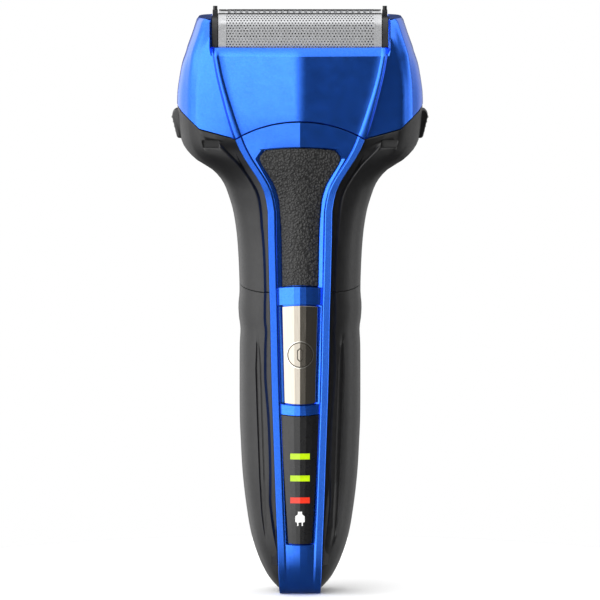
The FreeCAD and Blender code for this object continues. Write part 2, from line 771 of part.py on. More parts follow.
def battery_tabs():
    top = fused([box(-2.2, 2.2, -6.6, 3.5, 68.15, 68.4), box(-2.2, 2.2, -6.85, -6.6, 64.0, 68.4)])
    low = fused([box(-2.2, 2.2, -6.6, 3.5, 17.9, 18.15), box(-2.2, 2.2, -6.85, -6.6, 17.9, 22.0)])
    return Part.makeCompound([top, low])


def circuit_board():
    board = box(-9.4, 9.4, -8.2, -6.95, 21.0, 83.0).fuse(box(-4.8, 4.8, -8.2, -6.95, 14.2, 21.1))
    board = board.removeSplitter()
    for z in (24.5, 80.0):
        for x in (-7.6, 7.6):
            board = board.cut(rod(0.9, (x, -9, z), 3, BACK))
    return board


def board_parts():
    """The regulator chip, a coil and the capacitors on the board's face."""
    chips = [
        box(-8.6, -3.6, -9.3, -8.25, 44.0, 49.0),
        box(3.0, 8.0, -10.0, -8.25, 43.5, 48.5),
        box(-8.4, -6.6, -8.9, -8.25, 52.0, 55.0),
        box(-8.4, -6.6, -8.9, -8.25, 57.0, 60.0),
        box(6.6, 8.4, -8.9, -8.25, 52.0, 55.0),
        box(6.6, 8.4, -8.9, -8.25, 57.0, 60.0),
    ]
    return Part.makeCompound(chips)


def tact_switch():
    body = box(-3.0, 3.0, -9.5, -8.25, icon_height - 3.0, icon_height + 3.0)
    return fused([body, rod(1.4, (0, -9.9, icon_height), 0.5, BACK)])


def light_chips():
    return Part.makeCompound([box(-1.6, 1.6, -9.3, -8.25, z - 0.7, z + 0.7) for z in light_heights.values()])


def charge_inlet():
    wide, deep = inlet_outer
    inner_wide, inner_deep = inlet_inner
    body = rounded_bar(wide, deep, 1.5, 0.0, inlet_depth + 1.6, inlet_centre)
    flange = rounded_bar(wide + 1.8, deep + 1.8, 2.0, 7.1, inlet_depth, inlet_centre)
    well = rounded_bar(inner_wide, inner_deep, 0.8, -1.0, inlet_depth, inlet_centre)
    body = fused([body, flange]).cut(well)
    for side in (-1, 1):
        middle = inlet_centre + side * contact_spacing / 2
        body = body.cut(box(-0.55, 0.55, middle - 0.55, middle + 0.55, 5, 15))
    return body


def charge_contacts():
    pins = []
    for side in (-1, 1):
        y = inlet_centre + side * contact_spacing / 2
        pin = rod(contact_radius, (0, y, 4.9), inlet_depth - 4.95)
        tip = [e for e in pin.Edges if all(abs(v.Z - 4.9) < 1e-6 for v in e.Vertexes)]
        tail = box(-0.5, 0.5, y - 0.5, y + 0.5, inlet_depth - 0.1, inlet_depth + 4.1)
        pins.append(fused([pin.makeFillet(0.35, tip), tail]))
    return Part.makeCompound(pins)


def inlet_seal():
    wide, deep = inlet_outer
    ring = rounded_bar(wide + 1.5, deep + 1.5, 2.0, 6.95, 7.08, inlet_centre)
    return ring.cut(rounded_bar(wide + 0.1, deep + 0.1, 1.55, 5, 9, inlet_centre))


# ---------------------------------------------------------------- pop-up trimmer on the back


def trimmer_housing():
    hump = box(-12.6, 12.6, 6.0, 19.9, 88.6, 123.3)
    rounded = [e for e in hump.Edges
               if all(abs(v.Y - 19.9) < 1e-6 for v in e.Vertexes)
               and not all(abs(v.Z - 123.3) < 1e-6 for v in e.Vertexes)]
    hump = hump.makeFillet(2.2, rounded)
    hump = hump.cut(body_solid(0.05))
    channel = box(-10.8, 10.8, 16.4, 19.1, 90.2, 130)
    thumb_slot = box(-5.2, 5.2, 18, 24, 94.0, 114.8)
    return hump.cut(channel).cut(thumb_slot)


def trimmer_slider():
    plate = box(-10.5, 10.5, 17.3, 17.6, 115.9, 123.2)
    carriage = box(-10.5, 10.5, 16.7, 18.8, 90.5, 116.0)
    grip = box(-4.8, 4.8, 18.7, 20.1, 94.2, 103.8)
    parts = [plate, carriage, grip]
    for n in range(5):
        z = 95.6 + 1.7 * n
        parts.append(box(-4.2, 4.2, 20.0, 20.6, z - 0.35, z + 0.35))
    return fused(parts)


def toothed_strip(half, y0, y1, foot, root, tip, pitch):
    """A comb: a strip with square teeth standing on it."""
    parts = [box(-half, half, y0, y1, foot, root)]
    count = int(half / pitch)
    for n in range(-count, count + 1):
        parts.append(box(n * pitch - pitch * 0.27, n * pitch + pitch * 0.27, y0, y1, root - 0.1, tip))
    return fused(parts)


def trimmer_comb():
    return toothed_strip(10.2, 17.65, 18.15, 116.1, 121.6, 123.9, 1.3)


def trimmer_blade():
    return toothed_strip(8.8, 18.25, 18.7, 116.4, 121.3, 123.5, 1.3)


# ---------------------------------------------------------------- write every piece


def build():
    shell = housing_shell()
    pieces = {
        "handle_sleeve": handle_sleeve(shell),
        "neck_housing": neck_housing(shell),
        "front_frame": front_frame(),
        "grip_pad": grip_pad(),
        "power_button": power_button(),
        "button_seal": button_seal(),
        "indicator_window": indicator_window(),
        "head_cap": head_cap(),
        "foil_cassette": foil_cassette(),
        "front_foil": foil(-foil_reach),
        "rear_foil": foil(foil_reach),
        "front_foil_carrier": foil_carrier(-foil_reach),
        "rear_foil_carrier": foil_carrier(foil_reach),
        "centre_trimmer": centre_trimmer(),
        "front_blades": blade_pack(-foil_reach),
        "rear_blades": blade_pack(foil_reach),
        "front_blade_holder": blade_holder(-foil_reach),
        "rear_blade_holder": blade_holder(foil_reach),
        "centre_blade": centre_blade(),
        "front_cutter_spring": cutter_spring(-foil_reach),
        "rear_cutter_spring": cutter_spring(foil_reach),
        "drive_arm_front": drive_arm_front(),
        "drive_arm_rear": drive_arm_rear(),
        "head_deck": head_deck(),
        "deck_screws": deck_screws(),
        "drive_seal": drive_seal(),
        "motor": motor(),
        "eccentric_shaft": eccentric_shaft(),
        "motor_bracket": motor_bracket(),
        "motor_screws": motor_screws(),
        "release_button_left": release_button(-1),
        "release_button_right": release_button(1),
        "release_spring_left": release_spring(-1),
        "release_spring_right": release_spring(1),
        "inner_chassis": inner_chassis(),
        "battery_cell": battery_cell(),
        "battery_tabs": battery_tabs(),
        "circuit_board": circuit_board(),
        "board_parts": board_parts(),
        "tact_switch": tact_switch(),
        "light_chips": light_chips(),
        "charge_inlet": charge_inlet(),
        "charge_contacts": charge_contacts(),
        "inlet_seal": inlet_seal(),
        "trimmer_housing": trimmer_housing(),
        "trimmer_slider": trimmer_slider(),
        "trimmer_comb": trimmer_comb(),
        "trimmer_blade": trimmer_blade(),
    }
    for name, height in light_heights.items():
        pieces[name] = charge_light(height)
    return pieces


os.makedirs("parts", exist_ok=True)
for name, shape in build().items():
    print(f"{name:24s} valid {shape.isValid()} solids {len(shape.Solids)} volume {shape.Volume:.1f}")
    shape.exportStep(f"parts/{name}.step")
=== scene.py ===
import bpy
import bmesh
import math
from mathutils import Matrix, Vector


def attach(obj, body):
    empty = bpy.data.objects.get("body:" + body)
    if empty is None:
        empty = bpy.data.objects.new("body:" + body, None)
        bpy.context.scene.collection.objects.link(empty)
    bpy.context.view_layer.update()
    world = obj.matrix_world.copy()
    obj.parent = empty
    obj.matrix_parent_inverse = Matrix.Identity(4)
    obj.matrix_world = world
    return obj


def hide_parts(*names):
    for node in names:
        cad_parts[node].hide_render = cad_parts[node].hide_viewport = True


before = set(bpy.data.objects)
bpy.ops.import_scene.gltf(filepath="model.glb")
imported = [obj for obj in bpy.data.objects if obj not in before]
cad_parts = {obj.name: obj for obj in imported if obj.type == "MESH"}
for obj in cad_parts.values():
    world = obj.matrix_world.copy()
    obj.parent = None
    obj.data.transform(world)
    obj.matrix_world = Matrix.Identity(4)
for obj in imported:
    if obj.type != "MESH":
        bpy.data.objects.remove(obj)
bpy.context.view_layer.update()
print("frame loaded:", len(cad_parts), "nodes")

mm = 0.001


# small helpers

def clamp(value, low, high):
    return max(low, min(high, value))


def blendAt(value, low, high):
    t = clamp((value - low) / (high - low), 0.0, 1.0)
    return t * t * (3 - 2 * t)


def along(stations, height, column=1):
    # smooth value between stations, never past either neighbour's slope
    last = len(stations) - 1
    if height <= stations[0][0]:
        return stations[0][column]
    if height >= stations[last][0]:
        return stations[last][column]
    i = max(n for n in range(last) if stations[n][0] <= height)

    def slope(n):
        lo, hi = max(n - 1, 0), min(n + 1, last)
        return (stations[hi][column] - stations[lo][column]) / (stations[hi][0] - stations[lo][0])

    span = stations[i + 1][0] - stations[i][0]
    t = (height - stations[i][0]) / span
    a, b = stations[i][column], stations[i + 1][column]
    return ((2 * t**3 - 3 * t**2 + 1) * a + (t**3 - 2 * t**2 + t) * span * slope(i)
            + (3 * t**2 - 2 * t**3) * b + (t**3 - t**2) * span * slope(i + 1))


def straight(stations, height, column=1):
    if height <= stations[0][0]:
        return stations[0][column]
    for low, high in zip(stations, stations[1:]):
        if height <= high[0]:
            t = (height - low[0]) / (high[0] - low[0])
            return low[column] + t * (high[column] - low[column])
    return stations[-1][column]


def meshPiece(name, points, faces, sharpAngle=32, doubles=0.00002, acrossAngle=None):
    # points are in millimetres, in the object's own frame
    mesh = bpy.data.meshes.new(name)
    mesh.from_pydata([Vector(p) * mm for p in points], [], faces)
    bm = bmesh.new()
    bm.from_mesh(mesh)
    bmesh.ops.remove_doubles(bm, verts=bm.verts, dist=doubles)
    bmesh.ops.dissolve_degenerate(bm, edges=bm.edges, dist=1e-7)
    bmesh.ops.recalc_face_normals(bm, faces=bm.faces)
    markSharp(bm, sharpAngle, acrossAngle or sharpAngle)
    bm.to_mesh(mesh)
    bm.free()
    piece = bpy.data.objects.new(name, mesh)
    bpy.context.collection.objects.link(piece)
    return piece


def markSharp(bm, sharpAngle, acrossAngle):
    # edges that run across the piece may have a wider limit than those that run up it
    for face in bm.faces:
        face.smooth = True
    for edge in bm.edges:
        if len(edge.link_faces) == 2:
            a, b = (v.co for v in edge.verts)
            limit = acrossAngle if abs(a.z - b.z) < 0.3 * (a - b).length else sharpAngle
            edge.smooth = edge.calc_face_angle(0) < math.radians(limit)


def ringGrid(rings, closeRing=True, closeEnds=False):
    # quads between neighbouring rings of equal length
    count = len(rings[0])
    points = [p for ring in rings for p in ring]
    faces = []
    rows = len(rings)
    for j in range(rows if closeEnds else rows - 1):
        for i in range(count if closeRing else count - 1):
            a, b = j * count + i, j * count + (i + 1) % count
            c, d = ((j + 1) % rows) * count + (i + 1) % count, ((j + 1) % rows) * count + i
            faces.append((a, b, c, d))
    return points, faces


def softened(corners, steps=2):
    # corners are (x, y, radius): each corner with a radius becomes a short curve
    path = []
    last = len(corners) - 1
    for i, (x, y, radius) in enumerate(corners):
        if radius <= 0 or i in (0, last):
            path.append((x, y))
            continue
        here = Vector((x, y))
        before = Vector(corners[i - 1][:2]) - here
        after = Vector(corners[i + 1][:2]) - here
        start = here + before.normalized() * min(radius, before.length * 0.45)
        end = here + after.normalized() * min(radius, after.length * 0.45)
        for k in range(steps + 1):
            t = k / steps
            p = start * (1 - t) ** 2 + here * 2 * t * (1 - t) + end * t * t
            path.append((p.x, p.y))
    return path


def divided(path, counts):
    # counts[i] extra points inside each run of the path
    result = []
    for i, (a, b) in enumerate(zip(path, path[1:])):
        result.append(a)
        extra = counts.get(i, 0)
        for k in range(extra):
            t = (k + 1) / (extra + 1)
            result.append((a[0] + (b[0] - a[0]) * t, a[1] + (b[1] - a[1]) * t))
    result.append(path[-1])
    return result


def bevelled(piece, width, angle=30, segments=2):
    bevel = piece.modifiers.new("softEdges", "BEVEL")
    bevel.width = width * mm
    bevel.segments = segments
    bevel.limit_method = "ANGLE"
    bevel.angle_limit = math.radians(angle)
    bevel.harden_normals = True
    bevel.use_clamp_overlap = True
    return piece


def place(piece, body, material, slot, *nodes):
    piece.data.materials.clear()
    for m in material if isinstance(material, list) else [material]:
        piece.data.materials.append(m)
    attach(piece, body)
    if nodes:
        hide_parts(*nodes)
    return piece


# colour and materials

def linear(hexColour):
    channels = [int(hexColour[i:i + 2], 16) / 255 for i in (1, 3, 5)]
    return tuple(c / 12.92 if c <= 0.04045 else ((c + 0.055) / 1.055) ** 2.4 for c in channels) + (1.0,)


def addNode(tree, kind, settings=None, links=None):
    node = tree.nodes.new(kind)
    for key, value in (settings or {}).items():
        if isinstance(key, int) or key in node.inputs:
            node.inputs[key].default_value = value
        else:
            setattr(node, key, value)
    for key, source in (links or {}).items():
        tree.links.new(source, node.inputs[key])
    return node


def newMaterial(name):
    material = bpy.data.materials.new(name)
    material.use_nodes = True
    tree = material.node_tree
    tree.nodes.clear()
    shader = addNode(tree, "ShaderNodeBsdfPrincipled")
    addNode(tree, "ShaderNodeOutputMaterial", links={"Surface": shader.outputs[0]})
    coords = addNode(tree, "ShaderNodeTexCoord").outputs["Object"]
    return material, tree, shader, coords


def setShader(shader, **values):
    names = {"base": "Base Color", "metal": "Metallic", "rough": "Roughness", "coat": "Coat Weight",
             "coatRough": "Coat Roughness", "glowStrength": "Emission Strength",
             "specular": "Specular IOR Level"}
    for key, value in values.items():
        shader.inputs[names[key]].default_value = value


def speckle(tree, coords, size, low, high, detail=3.0):
    # a noise whose features are about size millimetres across, spread between two values
    noise = addNode(tree, "ShaderNodeTexNoise", {"Scale": 1 / (size * mm), "Detail": detail},
                    {"Vector": coords})
    spread = {"From Min": 0.3, "From Max": 0.7, "To Min": low, "To Max": high}
    return addNode(tree, "ShaderNodeMapRange", spread, {"Value": noise.outputs[0]}).outputs[0]


def addBump(tree, shader, height, strength, distance):
    bump = addNode(tree, "ShaderNodeBump", {"Strength": strength, "Distance": distance * mm},
                   {"Height": height})
    tree.links.new(bump.outputs[0], shader.inputs["Normal"])


def mixColours(tree, factor, first, second):
    mix = addNode(tree, "ShaderNodeMix", {"data_type": "RGBA"}, {0: factor})
    mix.inputs[6].default_value = linear(first)
    mix.inputs[7].default_value = linear(second)
    return mix.outputs[2]


def lacquer():
    # ABS with a metallic blue base coat and clear lacquer: deep colour, sharp reflections
    material, tree, shader, coords = newMaterial("metallicBlueLacquer")
    setShader(shader, metal=0.9, rough=0.24, coat=0.22, coatRough=0.04)
    flake = speckle(tree, coords, 0.5, 0.0, 1.0, 2.0)   # flakes are 0.05 mm, drawn coarser to show
    tree.links.new(mixColours(tree, flake, "#2a6dec", "#3377f2"), shader.inputs["Base Color"])
    tree.links.new(speckle(tree, coords, 3.0, 0.2, 0.27), shader.inputs["Roughness"])
    addBump(tree, shader, speckle(tree, coords, 0.35, 0.0, 1.0, 1.0), 0.05, 0.01)
    return material


def mattShell(name, dark, light, rough):
    # glass-filled ABS, spark-eroded mould: an even matt with a fine tooth
    material, tree, shader, coords = newMaterial(name)
    tone = mixColours(tree, speckle(tree, coords, 1.6, 0.0, 1.0), dark, light)
    tree.links.new(tone, shader.inputs["Base Color"])
    tree.links.new(speckle(tree, coords, 0.5, rough - 0.05, rough + 0.05), shader.inputs["Roughness"])
    addBump(tree, shader, speckle(tree, coords, 0.28, 0.0, 1.0, 2.0), 0.12, 0.03)
    return material


def pebbledRubber():
    # thermoplastic elastomer with an etched hide grain, pebbles about half a millimetre across
    material, tree, shader, coords = newMaterial("pebbledRubber")
    warp = addNode(tree, "ShaderNodeTexNoise", {"Scale": 1 / (1.2 * mm), "Detail": 2.0}, {"Vector": coords})
    shift = addNode(tree, "ShaderNodeVectorMath", {"operation": "SCALE", "Scale": 0.0006},
                    {0: warp.outputs["Color"]})
    moved = addNode(tree, "ShaderNodeVectorMath", {"operation": "ADD"}, {0: coords, 1: shift.outputs[0]})
    cells = addNode(tree, "ShaderNodeTexVoronoi", {"feature": "F1", "Scale": 1 / (0.62 * mm)},
                    {"Vector": moved.outputs[0]})
    spread = {"From Min": 0.15, "From Max": 0.75, "To Min": 1.0, "To Max": 0.0}
    pebble = addNode(tree, "ShaderNodeMapRange", spread, {"Value": cells.outputs["Distance"]}).outputs[0]
    # the colour follows the pebble height: the paler pebble tops are a painted highlight, the darker hollows
    # between them painted shade
    tree.links.new(mixColours(tree, pebble, "#121212", "#383837"), shader.inputs["Base Color"])
    setShader(shader, rough=0.52, specular=0.5)
    addBump(tree, shader, pebble, 0.9, 0.16)
    return material


def satinSteel():
    # stainless steel, finely brushed along its length, with a warm champagne tint
    material, tree, shader, coords = newMaterial("champagneSteel")
    stretch = addNode(tree, "ShaderNodeMapping", {"Scale": (1.0, 1.0, 0.02)}, {"Vector": coords})
    grain = speckle(tree, stretch.outputs[0], 0.12, 0.0, 1.0, 4.0)
    tree.links.new(mixColours(tree, grain, "#aaa397", "#b5aea3"), shader.inputs["Base Color"])
    setShader(shader, metal=1.0)
    rough = addNode(tree, "ShaderNodeMapRange", {"To Min": 0.13, "To Max": 0.2}, {"Value": grain})
    tree.links.new(rough.outputs[0], shader.inputs["Roughness"])
    addBump(tree, shader, grain, 0.04, 0.01)
    return material


def plainMetal(name, dark, light, rough, size=0.6):
    # sheet or turned metal with the slight mottling of plating
    material, tree, shader, coords = newMaterial(name)
    setShader(shader, metal=1.0)
    tone = mixColours(tree, speckle(tree, coords, size, 0.0, 1.0), dark, light)
    tree.links.new(tone, shader.inputs["Base Color"])
    tree.links.new(speckle(tree, coords, size * 2, rough - 0.06, rough + 0.06), shader.inputs["Roughness"])
    return material


def plainPlastic(name, dark, light, rough, coat=0.0):
    # moulded plastic: a faint flow mottle and a little unevenness in the gloss
    material, tree, shader, coords = newMaterial(name)
    setShader(shader, coat=coat, coatRough=0.06)
    tone = mixColours(tree, speckle(tree, coords, 2.5, 0.0, 1.0), dark, light)
    tree.links.new(tone, shader.inputs["Base Color"])
    tree.links.new(speckle(tree, coords, 0.9, rough - 0.04, rough + 0.04), shader.inputs["Roughness"])
    addBump(tree, shader, speckle(tree, coords, 0.5, 0.0, 1.0), 0.04, 0.02)
    return material


def litGuide(name, body, glow):
    # a polycarbonate light guide with the chip behind it lit, brightest in the middle
    material, tree, shader, coords = newMaterial(name)
    setShader(shader, base=linear(body), rough=0.25, glowStrength=0.95)
    glowMix = mixColours(tree, speckle(tree, coords, 1.5, 0.75, 1.0), body, glow)
    tree.links.new(glowMix, shader.inputs["Emission Color"])
    return material


blueLacquer = lacquer()
blackShell = mattShell("mattBlackShell", "#161617", "#1c1c1d", 0.44)
sideKeyShell = mattShell("satinBlackKey", "#131314", "#19191a", 0.36)
gripRubber = pebbledRubber()
buttonSteel = satinSteel()
etchedSteel = plainMetal("etchedSteelLine", "#4b4740", "#5a564e", 0.4, 0.3)
# a pale, bright metal for the thin ring round the power symbol: a painted highlight standing in for its glint
paintedGlintSteel = plainMetal("paintedGlintRingMetal", "#ddd9cf", "#eae7df", 0.2, 0.3)
smokedLens = plainPlastic("smokedAcrylic", "#121213", "#161617", 0.3, 0.1)
whiteInk = plainPlastic("whitePadPrint", "#e9e9e6", "#f2f2f0", 0.5)
limeGuide = litGuide("limeLightGuide", "#4c5c00", "#c8f200")
redGuide = litGuide("redLightGuide", "#4c0e06", "#ff3a20")
foilNickel = plainMetal("electroformedNickel", "#b2b3b5", "#c2c3c5", 0.22, 0.5)
bladeSteel = plainMetal("groundBladeSteel", "#8f9296", "#a9acb0", 0.3, 0.4)
springWire = plainMetal("springWire", "#9b9da0", "#b4b6b8", 0.3)
platedCan = plainMetal("platedSteelCan", "#b9babb", "#cbcccd", 0.3, 1.5)
platedBrass = plainMetal("goldPlatedBrass", "#c9a95a", "#dcc07a", 0.25, 0.8)
darkMoulding = plainPlastic("darkAcetal", "#121213", "#1a1a1b", 0.4)
paleMoulding = plainPlastic("paleAcetal", "#cfd1d2", "#dcdedf", 0.42)
boardMask = plainPlastic("boardSolderMask", "#0c3b22", "#11492b", 0.3, 0.3)
chipMoulding = plainPlastic("chipEpoxy", "#141414", "#1c1c1c", 0.5)
cellSleeve = plainPlastic("cellShrinkSleeve", "#1d6d60", "#24786a", 0.3, 0.3)
sealRubber = plainPlastic("sealSilicone", "#26262a", "#303034", 0.55)
chipEpoxy = plainPlastic("clearLightChip", "#d9d5bd", "#e6e2cc", 0.3, 0.4)
print("materials made")


# the seams every outer piece follows

seam = {"footX": 17.5, "footZ": 124.6, "cornerX": 27.3, "cornerZ": 127.2, "sideX": 34.0, "sideZ": 133.3,
        "crownZ": 129.5, "bay": 6.5, "gap": 0.16}
split = {"height": 85.0, "slope": 0.176, "gap": 0.12}


def seamHeight(x, y):
    # where the head cap meets the body, over a point in plan
    x = abs(x)
    rise = seam["crownZ"] - seam["footZ"]
    radius = (seam["footX"] ** 2 + rise ** 2) / (2 * rise)
    if x < seam["footX"]:
        return seam["crownZ"] - radius + math.sqrt(radius ** 2 - x ** 2)
    outer = straight([(seam["footX"], seam["footZ"]), (seam["cornerX"], seam["cornerZ"]),
                      (seam["sideX"], seam["sideZ"])], x)
    level = 1 - blendAt(abs(y), seam["bay"] - 0.4, seam["bay"] + 0.4)
    return outer + (seam["sideZ"] - outer) * level * blendAt(x, 27.5, 28.5)


creaseLine = [(0, -7.4), (0.9, -9.4), (2.5, -11.1), (4.6, -12.3), (9, -13.9), (15.6, -14.8), (24, -15.3),
              (40, -15.6), (57, -15.7), (70, -15.6), (84, -15.3), (96, -15.1), (104, -15.2), (109.5, -15.6),
              (113.8, -16.2), (118.2, -17.0), (124.6, -17.9), (130.5, -18.7), (137, -19.2), (141, -19.4),
              (147.6, -19.5), (151, -19.5)]
stripLine = [(0, 5.5), (0.9, 5.6), (2.5, 5.7), (4.6, 5.8), (9, 5.95), (15.6, 6.15), (24, 6.5), (40, 7.05),
             (52.7, 7.5), (63.6, 7.8), (79, 8.1), (85, 8.3), (98, 8.6), (105, 8.7), (109.5, 9.5),
             (111.7, 10.3), (113.8, 11.4), (116, 12.8), (118.2, 14.2), (120.4, 15.6), (124.6, 17.5),
             (130.5, 19.4), (135, 20.6), (141.9, 22.3), (147.6, 23.3)]
rake = 0.11


# head cap

capShape = {
    "panelX": [(120, 27.2), (129, 27.5), (137, 27.6), (141, 27.3), (147.6, 26.0)],
    "panelY": [(120, -14.0), (129, -14.5), (137, -15.0), (141, -15.2), (147.6, -15.6)],
    "facetX": [(120, 30.2), (129, 30.4), (137, 30.3), (141, 30.1), (147.6, 29.3)],
    "facetY": [(120, -11.4), (129, -11.9), (137, -12.5), (141, -12.7), (147.6, -13.0)],
    "half": [(120, 33.0), (127, 33.15), (133, 33.4), (137, 33.3), (141, 32.75), (144.4, 32.1),
             (147.6, 31.0)],
    "back": [(120, 15.9), (124, 16.4), (129, 16.8), (133, 17.0), (137, 17.1), (141, 17.0), (147.6, 16.6)],
    "ridge": [(120, 1.7), (128, 1.6), (138, 1.15), (147.6, 0.9)],
}


def capPlan(height):
    # the cap's outline in plan, right half, from front centre to back centre
    crease = along(creaseLine, height)
    strip = along(stripLine, height)
    ridge = straight(capShape["ridge"], height)
    panel = [straight(capShape[k], height) for k in ("panelX", "panelY")]
    facet = [straight(capShape[k], height) for k in ("facetX", "facetY")]
    half = along(capShape["half"], height)
    back = along(capShape["back"], height)
    edge = crease + rake * strip
    corners = [
        (0.0, crease, 0),
        (strip - ridge - 0.35, edge - rake * ridge, 0.15),
        (strip - ridge, edge - 0.42, 0.15),
        (strip - 0.2, edge - 0.42, 0.2),
        (strip + 0.35, edge + 0.75, 0.25),
        (panel[0], panel[1], 0.35),
        (facet[0], facet[1], 0.5),
        (half, facet[1] + 5.5, 3.0),
        (half, back - 9.0, 3.5),
        (facet[0] + 0.3, back - 3.4, 2.0),
        (panel[0] - 0.6, back, 2.2),
        (0.0, back + 0.15, 0),
    ]
    path = softened(corners)
    return divided(path, {0: 10, 12: 6, 15: 2, 18: 2, 21: 3, 24: 3, 27: 2, 30: 9})


def resting(column, zStart, heightAt, plan):
    # the height where one column of a plan meets a seam
    z = zStart
    for _ in range(4):
        x, y = plan(z)[column]
        z = heightAt(x, y)
    return z


def offsetPlan(path, distance):
    # move each point inwards, square to the path; the path runs front to back on the right
    moved = []
    for i, (x, y) in enumerate(path):
        ax, ay = path[max(i - 1, 0)]
        bx, by = path[min(i + 1, len(path) - 1)]
        dx, dy = bx - ax, by - ay
        length = math.hypot(dx, dy) or 1.0
        moved.append((max(x - dy / length * distance, 0.0) if x > 1e-6 else 0.0, y + dx / length * distance))
    return moved


def makeHeadCap():
    size = {"rim": 149.6, "ear": 157.1, "earX": 24.0, "mouthY": 14.6, "bodyRows": 16, "panelTop": 147.3,
            "frontIn": -13.6, "backIn": 15.0, "wall": 1.9}
    count = len(capPlan(130))
    inside = [offsetPlan(capPlan(z), size["wall"]) for z in (134.0, 146.5)]
    planAtTop = capPlan(size["panelTop"])
    chains = []
    for i in range(count):
        low = resting(i, 128.0, seamHeight, capPlan) + seam["gap"]
        xTop, yTop = planAtTop[i]
        chain = []
        xIn, yIn = inside[0][i]
        yIn = clamp(yIn, size["frontIn"], size["backIn"])
        x, y = capPlan(low)[i]
        chain.append((xIn, yIn, low))
        for j in range(size["bodyRows"] + 1):
            t = j / size["bodyRows"]
            z = low + (size["panelTop"] - low) * t
            px, py = capPlan(z)[i]
            if j == 0:
                chain.append((px * 0.995, py * 0.985, z))
                chain.append((px, py, z + 0.18))
            else:
                chain.append((px, py, z))
        isEar = xTop > size["earX"] + 0.05
        mouthX = min(xTop, size["earX"])
        mouthY = clamp(yTop, -size["mouthY"], size["mouthY"])
        if isEar:
            # the ear: leans in, with a rounded, paler top
            lean = [(149.0, 0.985, 0.985), (152.4, 0.945, 0.95), (156.2, 0.905, 0.86), (157.1, 0.885, 0.82)]
            for z, shrinkX, shrinkY in lean:
                innermost = size["earX"] + (0.5 if z < size["ear"] else 0.0)
                chain.append((max(xTop * shrinkX, innermost), yTop * shrinkY, z))
            chain.append((size["earX"] + 0.35, clamp(mouthY, -12.6, 12.2), size["ear"]))
            chain.append((size["earX"], clamp(mouthY, -12.9, 12.5), size["ear"] - 0.4))
            chain.append((size["earX"], mouthY, size["rim"] - 1.0))
        else:
            side = -1 if yTop < 0 else 1
            for z, pull in ((147.75, 0.25), (149.15, 1.2), (149.5, 1.6), (size["rim"], 2.1)):
                chain.append((xTop, yTop - side * pull, z))
            chain.append((mouthX, mouthY + side * 0.4, size["rim"]))
            chain.append((mouthX, mouthY, size["rim"] - 0.3))
            chain.append((mouthX, mouthY, size["rim"] - 1.0))
        xs, ys = inside[1][i]
        chain.append((min(xs, 28.6), clamp(ys, -14.2, 14.8), 146.9))
        chain.append((xIn, yIn, 141.0))
        chains.append(chain)
    left = [[(-x, y, z) for x, y, z in chain] for chain in reversed(chains[1:-1])]
    points, faces = ringGrid(chains + left, closeRing=True, closeEnds=True)
    return meshPiece("headCap", points, faces, 24)


cap = makeHeadCap()
place(cap, "head", blueLacquer, "blue_shell", "head_cap")
print("head cap made")


# front frame: a creased strip with flat lips and three pockets

frameShape = {
    "lip": 1.75, "lipRise": 0.55, "step": 0.45, "wall": 1.05, "back": -10.6,
    "pad": [(84.3, 5.0), (98, 5.2), (105, 5.6), (108, 5.85), (110.4, 6.5), (112.4, 7.2), (114.4, 8.3),
            (119.4, 11.1), (121.8, 9.5)],
    "button": [(52.8, 4.35), (79.3, 5.05)],
    "window": [(14.4, 3.25), (49.8, 5.4)],
    "upTo": [(122.0, 10.0), (130.5, 12.5)],
    "pocketDepth": 1.5, "chamferDepth": 0.74,
    "bow": {84.3: 0.45, 121.8: 0.75, 79.3: 0.4, 52.8: -0.45, 49.8: -0.45, 14.4: -0.25},
}


def panelLevel(x, z):
    # how far the panel falls back from its crease: facets on the handle, one slope on the head
    x = abs(x)
    facets = straight([(0, 0), (1.65, 0.10), (3.2, 0.40), (5.2, 1.1), (7.5, 1.9)], x)
    return facets + (rake * x - facets) * blendAt(z, 100, 114)


def pocketHalf(z):
    for key in ("window", "button", "pad"):
        low, high = frameShape[key][0][0], frameShape[key][-1][0]
        if low - 1e-6 <= z <= high + 1e-6:
            return along(frameShape[key], z) if key == "pad" else straight(frameShape[key], z)
    return None


def looseHalf(z):
    # the pocket's half width, carried on between pockets so columns keep their places
    joined = frameShape["window"] + frameShape["button"] + frameShape["pad"][:-1] + frameShape["upTo"]
    return straight([(0, 2.6)] + joined, z)


def frameRow(z, deep):
    crease = along(creaseLine, z)
    strip = along(stripLine, z)
    lip = strip - frameShape["lip"]
    half = pocketHalf(z) or looseHalf(z)
    half = min(half, lip - frameShape["step"] - 0.3)
    wall = min(frameShape["wall"], lip - frameShape["step"] - half - 0.05)
    drop = frameShape["pocketDepth"] if deep else 0.0
    row = []
    for share in (0, 0.33, 0.64, 0.9, 1.0):
        x = half * share
        row.append((x, crease + panelLevel(x, z) + drop))
    row.append((half + 0.02, crease + panelLevel(half, z) + min(drop, frameShape["chamferDepth"])))
    xWall = half + wall
    row.append((xWall, crease + panelLevel(xWall, z)))
    xStep = lip - frameShape["step"]
    row.append((xStep, crease + panelLevel(xStep, z)))
    lipLevel = min(panelLevel(lip, z), 0.75 + rake * lip * blendAt(z, 100, 114))
    lipTop = crease + lipLevel - frameShape["lipRise"] * 0.9
    row.append((lip - 0.12, lipTop + 0.12))
    row.append((lip + 0.08, lipTop))
    row.append((strip - 0.16, lipTop + 0.03))
    row.append((strip, lipTop + 0.2))
    row.append((strip, max(frameShape["back"], crease + 2.2) if z > 9 else crease + 2.2))
    return row


def bowed(row, z, bow):
    # the ends of each pocket curve with the plate that sits in it
    half = row[4][0] + frameShape["wall"]
    return [(x, y, z + bow * max(0.0, 1 - (x / half) ** 2)) for x, y in row]


